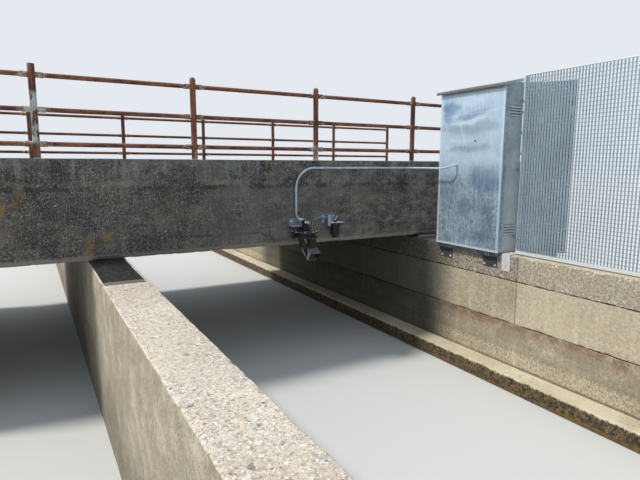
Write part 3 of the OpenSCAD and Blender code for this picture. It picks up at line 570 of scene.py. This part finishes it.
# marks of the boards: height, size of the sway, edges, size and edges of the gaps,
# strength and colour
board_marks = ((beam_z1 - 0.29, 0.6, (0.03, 0.008), 0.3, (0.4, 0.6), 0.5, (44, 42, 40)),
               (beam_z1 - 0.23, 0.8, (0.035, 0.01), 0.5, (0.5, 0.66), 0.45, (146, 144, 132)),
               (beam_z0 + 0.2, 0.5, (0.02, 0.006), 0.4, (0.45, 0.62), 0.5, (40, 38, 36)))
for mark_z, sway, edges, gap, gap_edges, share, tint in board_marks:
    mark = (black.z + black.cloud(sway, 3) * 0.03).off(mark_z).step(*edges)
    black.over(mark * black.cloud(gap, 4).step(*gap_edges) * share, tint)
rain = black.cloud(0.1, 3, 0.5, stretch=(1, 1, 0.12)).step(0.54, 0.68) * from_top.step(0.3, 0.03)
black.over(rain * grit.step(0.3, 0.55) * 0.6, (146, 148, 148))
seep = black.cloud(0.12, 4, 0.6, stretch=(1, 1, 0.15)).step(0.6, 0.75) * from_top.step(0.2, 0.6)
black.over(seep * 0.3, (132, 126, 112))
ochre = black.cloud(0.22, 5, 0.6, stretch=(1.2, 1, 0.7)).step(0.52, 0.66)
ochre_low = black.x.off(ochre_x).step(0.2, 0.05) * black.z.step(1.85, 1.7)
black.over(ochre * (black.x.step(-3.0, -3.3) + ochre_low) * 0.6, (150, 118, 50))
black.over(black.z.step(beam_z0 + 0.07, beam_z0 + 0.035) * 0.6, (164, 160, 148))
black.over(black.facing()[2].step(0.5, 0.9) * 0.6, (150, 146, 136))
black_finish = black.seal(0.005, rough=0.94, height=black.height - laitance * 0.3)
thick = beam_y1 - beam_y0
profile = [(bevel, beam_z0), (thick, beam_z0), (thick, beam_z1 - arris), (thick - arris, beam_z1),
           (arris, beam_z1), (0, beam_z1 - arris), (0, beam_z0 + bevel)]
for node, outer, flip in (("near_edge_beam", beam_y0, 1), ("far_edge_beam", -beam_y0, -1)):
    section = [(outer + flip * across, up) for across, up in profile]
    cast(node, black_finish, section, "x", beam_x0, beam_x1, (0, 2, 3, 4, 5, 6), 0.012)


# Railings
# Steel tube posts with short sockets that take the rails. The paint has gone but for
# cream remains round the sockets, and the steel is rusted brown and orange.
def dress(material, *nodes):
    """Gives parts of the frame, whose shapes are right, a better material."""
    for node in nodes:
        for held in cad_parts[node].material_slots:
            held.material = material


post_d, post_count = 0.062, 7
posts_x0, _, _, posts_x1, _, _ = box_of("near_posts")
first_post, last_post = posts_x0 + post_d / 2, posts_x1 - post_d / 2
post_gap = (last_post - first_post) / (post_count - 1)
post_xs = [first_post + i * post_gap for i in range(post_count)]


def rusted(name, run, cream):
    """Rusted steel that is streaked along its run, with cream paint left beside the posts."""
    iron = Finish(name)
    patch = iron.cloud(0.05, 6, 0.7, stretch=run)
    scale = iron.cloud(0.014, 5, 0.75)
    iron.colour = iron.mix(patch.step(0.38, 0.6), (72, 46, 38), (142, 88, 60))
    iron.over(scale.step(0.5, 0.62) * 0.6, (48, 34, 30))
    iron.over(scale.step(0.44, 0.32) * 0.5, (186, 124, 78))
    # Upward faces painted paler: a painted highlight along the tops of the tubes.
    iron.over(iron.facing()[2].step(0.3, 0.9) * 0.5, (172, 134, 116))
    along = iron.node("ShaderNodeMath", {0: iron.x - first_post, 1: post_gap / 2},
                      operation="PINGPONG")
    beside = along.step(0.15, 0.1) * along.step(post_d * 0.49, post_d * 0.53)
    paint = iron.cloud(0.03, 6, 0.7).step(0.5, 0.54) * beside * cream
    iron.over(paint, (196, 186, 166))
    iron.rough, iron.height = 0.82, scale * 0.8 + patch * 0.4 - paint * 0.3
    return iron


rails = rusted("rusted_rail", (0.2, 1, 1), 0.6)
rail_finish = rails.seal(0.0015)
posts = rusted("rusted_post", (1, 1, 0.14), 0.75)
flaking = posts.cloud(0.03, 5, 0.7, stretch=(1, 1, 0.1)).step(0.57, 0.64)
posts.over(flaking * 0.45, (192, 164, 130))
painted_z = 2.87
painted = posts.x.off(post_xs[1]).step(0.1, 0.06) * posts.z.off(painted_z).step(0.26, 0.2)
painted_foot = posts.x.off(post_xs[3]).step(0.1, 0.06)
painted_foot *= posts.z.step(beam_z1 + 0.2, beam_z1 + 0.08)
remains = posts.cloud(0.05, 6, 0.7, stretch=(1, 1, 0.4)).step(0.44, 0.5)
posts.over((painted + painted_foot) * remains * posts.y.step(0, -0.1), (176, 180, 172))
post_finish = posts.seal(0.0015)
for railing in ("near", "far"):
    dress(post_finish, railing + "_posts")
    dress(rail_finish, *(railing + place + "rail" for place in ("_top_", "_middle_", "_bottom_")))


# Welds of the railings
# A lumpy bead runs round each socket where it meets the post, and a smaller one where the
# rail enters it. Each bead is a ring that a noise has made uneven.
def seeds_of(name, places):
    """Seed points, each with the direction that its fixing points in."""
    mesh = mesh_of(name, [place for place, way in places])
    ways = mesh.attributes.new("way", "FLOAT_VECTOR", "POINT")
    ways.data.foreach_set("vector", [part for place, way in places for part in way])
    return mesh


def fixed(plan, seeds, fixing, spin=0.0, **shape):
    """One fixing on each seed, spun about its Z axis, which then points the seed's way."""
    way = plan.node("GeometryNodeInputNamedAttribute", {"Name": "way"}, data_type="FLOAT_VECTOR")
    start = plan.node("FunctionNodeAxisAngleToRotation", {"Axis": (0, 0, 1), "Angle": spin})
    turned = plan.node("FunctionNodeAlignRotationToVector", {"Rotation": start, "Vector": way},
                       axis="Z")
    return plan.node("GeometryNodeInstanceOnPoints", {"Points": seeds, "Instance": fixing,
                                                      "Rotation": turned, **shape})


plan, (seeds, ring, bead) = tree_of("weld_beads", "Ring", "Bead")
circle = plan.node("GeometryNodeCurvePrimitiveCircle", {"Resolution": 26, "Radius": ring})
round_bead = plan.node("GeometryNodeCurvePrimitiveCircle", {"Resolution": 6, "Radius": bead})
hoop = plan.node("GeometryNodeCurveToMesh", {"Curve": circle, "Profile Curve": round_bead})
solid = plan.node("GeometryNodeRealizeInstances", {0: fixed(plan, seeds, hoop)})
lumps = plan.node("ShaderNodeTexNoise", {"Scale": 140.0, "Detail": 2.0}, "Color")
centred = plan.node("ShaderNodeVectorMath", {0: lumps, 1: (0.5, 0.5, 0.5)}, operation="SUBTRACT")
pushed = plan.node("ShaderNodeVectorMath", {0: centred, "Scale": bead * 1.2}, operation="SCALE")
uneven = plan.node("GeometryNodeSetPosition", {"Geometry": solid, "Offset": pushed})
weld_tree = closed_tree(plan, uneven, post_finish)
rail_inset, post_face, socket_end = 0.053, post_d * 0.44, 0.093
rail_heights = tuple(beam_z1 + rise for rise in (0.13, 0.447, 0.76))
sides = [(x, side, z) for x in post_xs for side in (-1, 1) for z in rail_heights
         if first_post - post_d < x + side * post_gap < last_post + post_d]
for railing, rail_y in (("near", beam_y0 + rail_inset), ("far", -beam_y0 - rail_inset)):
    for kind, out, ring_r, bead_r in (("_post_welds", post_face, 0.0275, 0.004),
                                      ("_socket_welds", socket_end, 0.0235, 0.0032)):
        places = [((x + side * out, rail_y, z), (side, 0, 0)) for x, side, z in sides]
        grown(railing + kind, seeds_of("welds", places), weld_tree, Ring=ring_r, Bead=bead_r)


# Cabinet
# Folded galvanised sheet, bluish with a coarse spangle and cloudy streaks. The canal face
# is darker below, with its dents shown as painted reflections and painted shade, painted
# highlights on its folds and lip, painted brown shade under the eave, a crease and small holes.
def galvanised(name, pale, dark, spangle=0.022, streaks=0.5):
    """Zinc with grains of that size and streaks of that strength."""
    sheet = Finish(name)
    _, tone = sheet.cells(spangle)
    _, fine_tone = sheet.cells(spangle * 0.45)
    veil = sheet.cloud(0.35, 6, 0.65)
    leaning = sheet.node("ShaderNodeMapping", {0: sheet.place, "Rotation": (0.3, 0.0, 0.0)})
    run = sheet.cloud(1 / 22, 5, 0.65, (1, 1, 0.16), leaning)
    shade = tone * 0.45 + fine_tone * 0.2 + veil.step(0.35, 0.65) * 0.5 - 0.1
    sheet.colour = sheet.mix(shade, dark, pale)
    sheet.over(run.step(0.52, 0.68) * streaks, (222, 232, 238))
    sheet.over(run.step(0.46, 0.3) * streaks * 0.6, (112, 134, 150))
    sheet.rough = 0.34 + tone * 0.16 + veil * 0.1
    sheet.height = tone * 0.4 + fine_tone * 0.2
    return sheet


cab_x0, cab_y0, cab_z0, _, cab_y1, cab_z1 = box_of("cabinet_canal_face")
zinc = galvanised("cabinet_zinc", (194, 215, 230), (124, 150, 170))
at_face = zinc.x.step(cab_x0 + 0.02, cab_x0 + 0.01)
wave = zinc.cloud(0.12, 5, 0.65) * 1.4 - 0.7
bent_y = zinc.y + zinc.cloud(0.34, 3, 0.55) * 0.4 - 0.2
bent_z = zinc.z + zinc.cloud(0.4, 3, 0.5, stretch=(1, 0.8, 1)) * 0.26 - 0.13
blotch = zinc.cloud(0.024, 6, 0.8, stretch=(1, 1, 0.6))
upper = (zinc.z + wave * 0.1).step(cab_z0 + 0.62, cab_z0 + 1.1)
zinc.over(upper * at_face * 0.6, (200, 223, 241))
lower = (1 - upper) * at_face
zinc.over(lower * 0.45, (112, 137, 152))
zinc.over((0.2 + lower * 0.8) * blotch.step(0.5, 0.38) * at_face * 0.65, (78, 104, 122))
zinc.over((0.35 + lower * 0.65) * blotch.step(0.53, 0.64) * at_face * 0.6, (214, 228, 236))
# painted reflections and painted shade of dents in the sheet: middle in Y and Z, half width, half
# height, strength and colour
dent_reflections = (
    (-3.4, 3.2, 0.3, 0.07, 0.5, (214, 236, 252)), (-3.3, 2.995, 0.3, 0.03, 0.55, (222, 240, 250)),
    (-3.2, 2.75, 0.3, 0.035, 0.5, (216, 230, 238)), (-3.6, 2.5, 0.2, 0.06, 0.4, (206, 226, 240)),
    (-2.95, 3.1, 0.07, 0.13, 0.6, (98, 130, 170)), (-3.02, 3.17, 0.17, 0.045, 0.6, (104, 136, 172)),
    (-3.36, 3.05, 0.27, 0.035, 0.6, (116, 146, 182)),
    (-3.33, 2.9, 0.46, 0.07, 0.5, (128, 150, 166)), (-3.3, 2.62, 0.34, 0.055, 0.5, (126, 140, 150)),
    (-3.58, 2.28, 0.28, 0.14, 0.65, (88, 116, 146)), (-3.26, 1.95, 0.14, 0.12, 0.4, (92, 112, 124)),
    (-3.6, 1.97, 0.13, 0.12, 0.4, (92, 114, 130)), (-3.5, 1.6, 0.26, 0.08, 0.45, (90, 112, 124)),
    (-3.66, 1.75, 0.1, 0.2, 0.4, (84, 106, 118)), (-3.05, 2.2, 0.14, 0.16, 0.4, (112, 138, 160)))
for y, z, half_w, half_h, share, tint in dent_reflections:
    aside, over_it = (bent_y - y) * (1 / half_w), (bent_z - z) * (1 / half_h)
    dent_reflection = (aside * aside + over_it * over_it + wave * 0.7).step(1.6, 0.1) * at_face
    zinc.over(dent_reflection * share, tint)
hair = zinc.cloud(0.02, 3, 0.5, stretch=(1, 1, 0.05)).step(0.5, 0.75)
zinc.over(hair * at_face * 0.3, (226, 236, 242))
scratch_lean, scratch_shift, scratch_z = 0.364, 4.236, 2.855
scratch = (zinc.y - zinc.z * scratch_lean + scratch_shift).off(0.0).step(0.006, 0.002)
scratch *= zinc.z.off(scratch_z).step(0.13, 0.08)
zinc.over(scratch * at_face * 0.85, (236, 240, 242))
fold_w, lip_w, soft = 0.034, 0.03, 0.008
# The fold strips at both edges and the lip at the bottom are painted pale: painted highlights on
# the bends.
fold_highlight = zinc.y.step(cab_y0 + fold_w, cab_y0 + fold_w - soft)
fold_highlight += zinc.y.step(cab_y1 - fold_w, cab_y1 - fold_w + soft)
lip = zinc.z.step(cab_z0 + lip_w, cab_z0 + lip_w - soft)
# A brown band just under the eave: painted shade under the roof's overhang.
eave_shade = (cab_z1 - zinc.z).step(0.075, 0.045) * at_face
zinc.over(eave_shade * 0.7, (150, 134, 122))
zinc.over((fold_highlight * 0.65 + lip * 0.9) * at_face, (216, 230, 240))
crease_z, crease_fall = cab_z0 + 1.616, 0.052
crease = (zinc.z + (zinc.y - cab_y0) * crease_fall).off(crease_z).step(0.006, 0.002) * at_face
zinc.over(crease * 0.35, (222, 232, 238))
for y, z, hole_r in ((-2.937, 3.245, 0.007), (-3.427, 3.243, 0.007), (-3.42, 2.731, 0.0125)):
    aside, over_it = zinc.y.off(y), zinc.z.off(z)
    hole = (aside * aside + over_it * over_it).step(hole_r ** 2 * 1.3, hole_r ** 2 * 0.7)
    zinc.over(hole * at_face, (24, 27, 31))
grime = zinc.cloud(0.06, 5, 0.7, stretch=(1, 1, 0.3)).step(0.58, 0.72)
zinc.over(grime * zinc.z.step(cab_z0 + 0.35, cab_z0) * 0.4, (120, 120, 108))
dress(zinc.seal(0.0008, 0.35, height=zinc.height + crease * 0.6 + wave * 0.3),
      "cabinet_canal_face", "cabinet_far_side", "cabinet_floor",
      "cabinet_door_frame", "cabinet_shut_door")

flank_y0, flank_z0 = box_of("cabinet_near_side")[1:3]
louvre_pitch, louvre_high, louvre_x, louvre_half = 0.031, 0.019, 1.703, 0.09
flank = galvanised("flank_zinc", (190, 204, 209), (148, 166, 176), 0.022, 0.3)
flank.over(flank.z.step(flank_z0 + 1.5, flank_z0 + 0.2) * 0.45, (206, 213, 211))
for row_z in (flank_z0 + 0.207, flank_z0 + 1.536):
    phase = flank.node("ShaderNodeMath", {0: flank.z - row_z + 10 * louvre_pitch, 1: louvre_pitch},
                       operation="MODULO")
    in_row = flank.z.off(row_z + 1.8 * louvre_pitch).step(2.1 * louvre_pitch, 2.0 * louvre_pitch)
    in_row *= flank.x.off(louvre_x).step(louvre_half, louvre_half - 0.004)
    # The flat strip under each hood is painted dark: painted shade beneath the louvre hoods.
    gap = phase.step(louvre_high - 0.003, louvre_high + 0.001)
    flank.over(gap * in_row * 0.8, (54, 70, 86))
# Hood fronts and upward faces painted near-white: painted highlights on the louvres.
hood_highlight = flank.y.step(flank_y0 + 0.007, flank_y0 + 0.002) + flank.facing()[2].step(0.2, 0.5) * 0.4
flank.over(hood_highlight * 0.8, (234, 240, 242))
dress(flank.seal(0.0006, 0.3), "cabinet_near_side")


# Cabinet roof
# The same sheet, folded down all round and rolled into a bead along the eave. Dust and
# birds have dulled it. Its downward faces are painted dark brown as painted shade, and the
# lower part of the fold along the eave is brown, darkest at its foot.
eave_z, brown_high = box_of("cabinet_roof")[2], 0.034
roofing = galvanised("roof_zinc", (204, 214, 220), (162, 174, 182), 0.03)
face_x, _, face_z = roofing.facing()
dust = face_z.step(0.4, 0.8) * roofing.cloud(0.12, 6, 0.7).step(0.4, 0.62)
roofing.over(dust * 0.6, (164, 160, 146))
eave = face_x.step(-0.2, -0.6) * face_z.step(0.7, 0.3)
# Downward faces painted dark brown: painted shade under the roof's folds.
roofing.over(face_z.step(-0.1, -0.5) * 0.7, (112, 100, 88))
rising = roofing.z.step(eave_z + 0.004, eave_z + 0.02)
browned = roofing.mix(rising, (84, 76, 70), (118, 109, 101))
low_on_eave = roofing.z.step(eave_z + brown_high, eave_z + brown_high - 0.008)
roofing.over(eave * low_on_eave * 0.85, browned)
dress(roofing.seal(0.0008, 0.35, roofing.rough + 0.08), "cabinet_roof")


# Cabinet door
# One shallow tray that stands open behind the fence, with its lock near the free edge.
# Its hinges are rolled round plain pins.
# The door's zinc is painted much darker than the cabinet's: painted shade behind the fence.
tray = galvanised("door_zinc", (92, 110, 122), (66, 84, 96), 0.022, 0.2)
dress(tray.seal(0.0006, 0.25), "cabinet_open_door")
pin = galvanised("hinge_zinc", (186, 192, 194), (128, 134, 138), 0.008, 0.2)
pin_finish = pin.seal(0.0004, 0.7)
dress(pin_finish, "cabinet_hinges")
lock = Finish("lock_black")
lock.colour = lock.mix(lock.cloud(0.01).step(0.4, 0.7), (34, 34, 36), (58, 57, 55))
dress(lock.seal(0.0003, rough=0.5, height=lock.cloud(0.003)), "cabinet_lock")


# Cabinet supports
# A base angle on the wall's top and two bent plates below the overhang, bolted to the
# wall. Their zinc is painted dark as painted shade under the cabinet, with painted light on
# their upward faces.
# The plates' zinc is painted dark: painted shade under the cabinet.
support = galvanised("support_zinc", (96, 102, 108), (60, 66, 72), 0.016, 0.3)
# Upward faces painted pale: painted light on the tops.
support.over(support.facing()[2].step(0.4, 0.8) * 0.7, (176, 186, 194))
dress(support.seal(0.0006, 0.55), "cabinet_base_angle", "cabinet_brackets")


# Bolts and rivets
# Hexagon bolts on washers hold the plates, and low round rivets the sheets. Each one sits
# on its plate and points straight out of it.
bolt_zinc = galvanised("bolt_zinc", (232, 236, 238), (176, 182, 186), 0.006, 0.2)
bolt_finish = bolt_zinc.seal(0.0003, 0.4, bolt_zinc.rough * 0.8)
plan, (seeds, head_w, head_h, washer_w, washer_h) = tree_of(
    "bolts", "Head width", "Head height", "Washer width", "Washer height")
join = plan.tree.nodes.new("GeometryNodeJoinGeometry")
for corners, radius, depth, rise in ((20, washer_w / 2, washer_h, washer_h / 2),
                                     (6, head_w / 2, head_h, washer_h + head_h / 2),
                                     (12, head_w * 0.24, head_h, washer_h + head_h)):
    layer = plan.node("GeometryNodeMeshCylinder",
                      {"Vertices": corners, "Radius": radius, "Depth": depth})
    upward = plan.node("ShaderNodeCombineXYZ", {2: rise})
    raised = plan.node("GeometryNodeTransform", {"Geometry": layer, "Translation": upward})
    plan.tree.links.new(raised.socket, join.inputs[0])
spin = plan.node("FunctionNodeRandomValue", {2: 0.0, 3: 6.28, "Seed": 8}, 1, data_type="FLOAT")
bolts = fixed(plan, seeds, Value(plan, join.outputs[0]), spin)
bolt_tree = closed_tree(plan, bolts, bolt_finish)


def bolted(name, places, size):
    """Bolts of one size, whose width across the flats is about size."""
    grown(name, seeds_of(name, places), bolt_tree,
          **{"Head width": size * 1.15, "Head height": size * 0.55,
             "Washer width": size * 1.9, "Washer height": size * 0.14})


def buttons(name, kind, sizes, material):
    """Plan of one low round button on each seed, Width wide, that stands out by Rise."""
    plan, (seeds, width, rise) = tree_of(name, "Width", "Rise")
    button = plan.node(kind, {"Radius": 1.0, **sizes})
    squat = plan.node("ShaderNodeCombineXYZ", {0: width / 2, 1: width / 2, 2: rise})
    return closed_tree(plan, fixed(plan, seeds, button, Scale=squat), material)


plate_x, plate_bolt_z = box_of("cabinet_brackets")[3] - 0.006, 1.298
plate_bolt_ys = (-3.770, -3.609, -3.045, -2.898)
bolted("bracket_bolts", [((plate_x, y, plate_bolt_z), (-1, 0, 0)) for y in plate_bolt_ys], 0.016)

face_rivet_z, face_rivet_ys = 1.52, (-3.805, -3.43, -2.94)
side_rivet_xs, side_rivet_zs, side_sheet = (1.60, 1.79), (1.56, 2.26, 2.97), 0.002
places = [((cab_x0, y, face_rivet_z), (-1, 0, 0)) for y in face_rivet_ys]
places += [((x, cab_y0 + side_sheet, z), (0, -1, 0)) for x in side_rivet_xs for z in side_rivet_zs]
rivet_tree = buttons("rivets", "GeometryNodeMeshUVSphere", {"Segments": 14, "Rings": 8},
                     bolt_finish)
grown("cabinet_rivets", seeds_of("rivets", places), rivet_tree, Width=0.011, Rise=0.003)


# Grating fence
# Flat bars on edge with thin rods across their front, forge welded at every crossing,
# then galvanised. Flat posts at its ends stand on clips bent over the wall.
panel_z0, panel_z1 = 1.502, 3.402
grate = galvanised("grating_zinc", (212, 222, 228), (164, 177, 186), 0.014, 0.35)
face_x, face_y, _ = grate.facing()
# Faces turned toward the camera's side painted a little darker: painted shade on the bars' sides.
grate.over(face_y.step(-0.4, -0.8) * 0.6, (172, 190, 201))
# Faces turned toward the canal painted near-white: painted light on the bars' fronts.
grate.over(face_x.step(-0.5, -0.9) * 0.6, (236, 242, 245))
edge_bars = grate.z.step(panel_z0, panel_z0 - 0.006) + grate.z.step(panel_z1, panel_z1 + 0.006)
grate.over(edge_bars * 0.8, (236, 240, 240))
dress(grate.seal(0.0006, 0.3), "fence_panel")
rod = galvanised("rod_zinc", (170, 182, 190), (132, 144, 152), 0.014, 0.3)
rod_finish = rod.seal(0.0004, 0.3)
dress(rod_finish, "fence_rods", "fence_posts")
clip = galvanised("clip_zinc", (238, 238, 234), (206, 208, 206), 0.012, 0.2)
dress(clip.seal(0.0005, 0.35, clip.rough + 0.1), "fence_clips")
rods_x0, _, rods_z0, _, rods_y1, _ = box_of("fence_rods")
bar_pitch, bar_t, rod_pitch, rod_t = 0.034, 0.003, 0.038, 0.004
bar_count, rod_count = 60, 49
knots = [((rods_x0 + rod_t / 2, rods_y1 - bar_t / 2 - i * bar_pitch,
           rods_z0 + rod_t / 2 + j * rod_pitch), (-1, 0, 0))
         for i in range(bar_count) for j in range(rod_count)]
knot_tree = buttons("weld_knots", "GeometryNodeMeshIcoSphere", {"Subdivisions": 1}, rod_finish)
grown("fence_weld_knots", seeds_of("knots", knots), knot_tree, Width=0.0085, Rise=0.0032)
clip_t, clip_bolt_z, clip_top_z, bolt_in = 0.006, 1.315, 1.457, 0.1
clip_x = inner_x - clip_t
bolted("clip_bolts", [((clip_x, y, clip_bolt_z), (-1, 0, 0)) for y in (-3.924, -6.043)]
       + [((clip_x + bolt_in, y, clip_top_z), (0, 0, 1)) for y in (-3.921, -6.046)], 0.016)


# Conduit
# Grey plastic tube from the sensors up the beam's face, along it and round to the
# cabinet, on saddle clips. Its top is painted paler and a little warmer as painted light
# from above, and small dark dirt spots lie on it.
tube = Finish("grey_conduit")
dull = tube.cloud(0.12, 5, 0.6).step(0.4, 0.65)
tube.colour = tube.mix(dull, (164, 184, 198), (192, 207, 217))
# Upward faces painted paler: painted light from above.
tube.over(tube.facing()[2].step(0.3, 0.9) * 0.35, (226, 226, 220))
tube.over(tube.cloud(0.02, 5, 0.7).step(0.62, 0.72) * 0.35, (112, 108, 98))
dress(tube.seal(0.0003, rough=0.5, height=tube.cloud(0.01, 3)),
      "conduit", "conduit_entry", "conduit_gland")
dress(pin_finish, "conduit_clips")


# Radar sensor
# Black coated head of two flanges and a ribbed body, with a tilted horn under it whose
# mouth looks at the water. Bright bolts hold its flanges and its clamp.
coat = Finish("black_coating")
coat.colour = coat.mix(coat.cloud(0.05, 5, 0.6).step(0.35, 0.7), (8, 9, 10), (21, 22, 23))
dusty = coat.facing()[2].step(0.4, 0.95) * coat.cloud(0.03, 6, 0.7).step(0.3, 0.6)
coat.over(dusty * 0.3, (112, 110, 104))
dress(coat.seal(0.0006, rough=0.6, height=coat.cloud(0.004, 4, 0.7)), "radar_head")

horn_x1, _, horn_z1 = box_of("radar_horn")[3:]
horn = Finish("horn_coating")
face_x, _, face_z = horn.facing()
# The horn's left side is painted near-white and its lower top faces grey: painted light on a black
# horn.
horn_lit_side = face_x.step(-0.3, -0.9) * horn.x.step(horn_x1 - 0.1, horn_x1 - 0.13)
horn_lit_side *= horn.z.step(horn_z1 - 0.12, horn_z1 - 0.16)
horn.colour = horn.mix(horn_lit_side * 0.85, (14, 14, 16), (214, 216, 215))
horn_lit_top = face_z.step(0.4, 0.8) * horn.z.step(horn_z1 - 0.1, horn_z1 - 0.13)
horn.over(horn_lit_top * 0.8, (120, 117, 120))
horn.over(horn.cloud(0.03, 5, 0.7).step(0.5, 0.7) * 0.15, (60, 59, 57))
dress(horn.seal(0.0006, rough=0.65, height=horn.cloud(0.005, 4, 0.7)), "radar_horn")

cable = Finish("pale_cable")
cable.colour = cable.mix(cable.cloud(0.02).step(0.35, 0.7), (150, 152, 150), (188, 190, 188))
dress(cable.seal(rough=0.55), "sensor_cable")

arm_y, clamp_x, clamp_z = -2.38, -0.1, 1.722
# The brackets' zinc is painted dark bluish: painted shade of the beam over them.
steel = galvanised("bracket_zinc", (132, 152, 168), (88, 108, 124), 0.012, 0.3)
face_x, _, face_z = steel.facing()
# Upward faces, and the canal-facing faces of the arm's outer part, are painted near-white and less
# metallic: painted sunlight.
painted_sunlit_faces = face_z.step(0.4, 0.8) + face_x.step(-0.6, -0.9) * steel.y.step(arm_y, arm_y - 0.02)
steel.over(painted_sunlit_faces * 0.95, (250, 252, 252))
rust = steel.x.step(clamp_x, clamp_x - 0.02) * steel.z.step(clamp_z, clamp_z - 0.006)
steel.over(rust * 0.7, (158, 136, 128))
dress(steel.seal(0.0005, 0.4 - painted_sunlit_faces * 0.35), "radar_bracket", "level_bracket")


def round_of(a, b, radius, count, first=0):
    """Points on a circle about (a, b), from the angle first on."""
    angles = [math.radians(first + 360 * i / count) for i in range(count)]
    return [(a + radius * math.cos(angle), b + radius * math.sin(angle)) for angle in angles]


head_x0, head_y0, head_z0, head_x1, head_y1, _ = box_of("radar_head")
ring_r, flange_top = (head_x1 - head_x0) / 2 - 0.013, head_z0 + 0.068
ring = round_of((head_x0 + head_x1) / 2, (head_y0 + head_y1) / 2, ring_r, 8, 20)
bolted("radar_flange_bolts", [((x, y, z), (0, 0, up)) for z, up in ((flange_top, 1), (head_z0, -1))
                              for x, y in ring], 0.012)
plate_t, below_top = 0.005, 0.03
bracket_x0, _, _, bracket_x1, bracket_y1, bracket_z1 = box_of("radar_bracket")
bolted("radar_bracket_bolts",
       [((x, bracket_y1 - plate_t, bracket_z1 - below_top), (0, -1, 0))
        for x in (bracket_x0 + 0.03, bracket_x1 - 0.045)], 0.014)

sleeve_xs, sleeve_y, sleeve_z, sleeve_r, parts = (-0.262, -0.212), -2.3565, 1.7875, 0.0165, 20
ring = round_of(sleeve_y, sleeve_z, sleeve_r, parts)
faces = [(i, (i + 1) % parts, parts + (i + 1) % parts, parts + i) for i in range(parts)]
faces += [tuple(range(parts)), tuple(range(2 * parts - 1, parts - 1, -1))]
sleeve = mesh_of("conduit_sleeve", [(x, y, z) for x in sleeve_xs for y, z in ring], faces)
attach(show("conduit_sleeve", sleeve, bolt_finish), "bridge")
nut_y = -2.4795
bolted("radar_clamp_nuts",
       [((x, nut_y, z), (0, -1, 0)) for x, z in ((-0.193, 1.76), (-0.226, 1.768))], 0.017)


# Level sensor
# Black capped cylinder under a steel arm, held by a nut on its threaded neck, with a
# pale cable stub above it. The bracket's plate is bolted to the beam.
neck_z = 1.764
probe = Finish("probe_coating")
probe.colour = probe.mix(probe.cloud(0.05, 5, 0.6).step(0.35, 0.7), (8, 9, 10), (20, 21, 22))
probe.over(probe.z.step(neck_z, neck_z + 0.004), (214, 218, 218))
dress(probe.seal(0.0005, rough=0.6, height=probe.cloud(0.004, 4, 0.7)), "level_sensor")
level_x0, _, _, _, level_y1, level_z1 = box_of("level_bracket")
bolted("level_bracket_bolts",
       [((x, level_y1 - plate_t, level_z1 - below_top), (0, -1, 0))
        for x in (level_x0 + 0.025, level_x0 + 0.17)], 0.012)
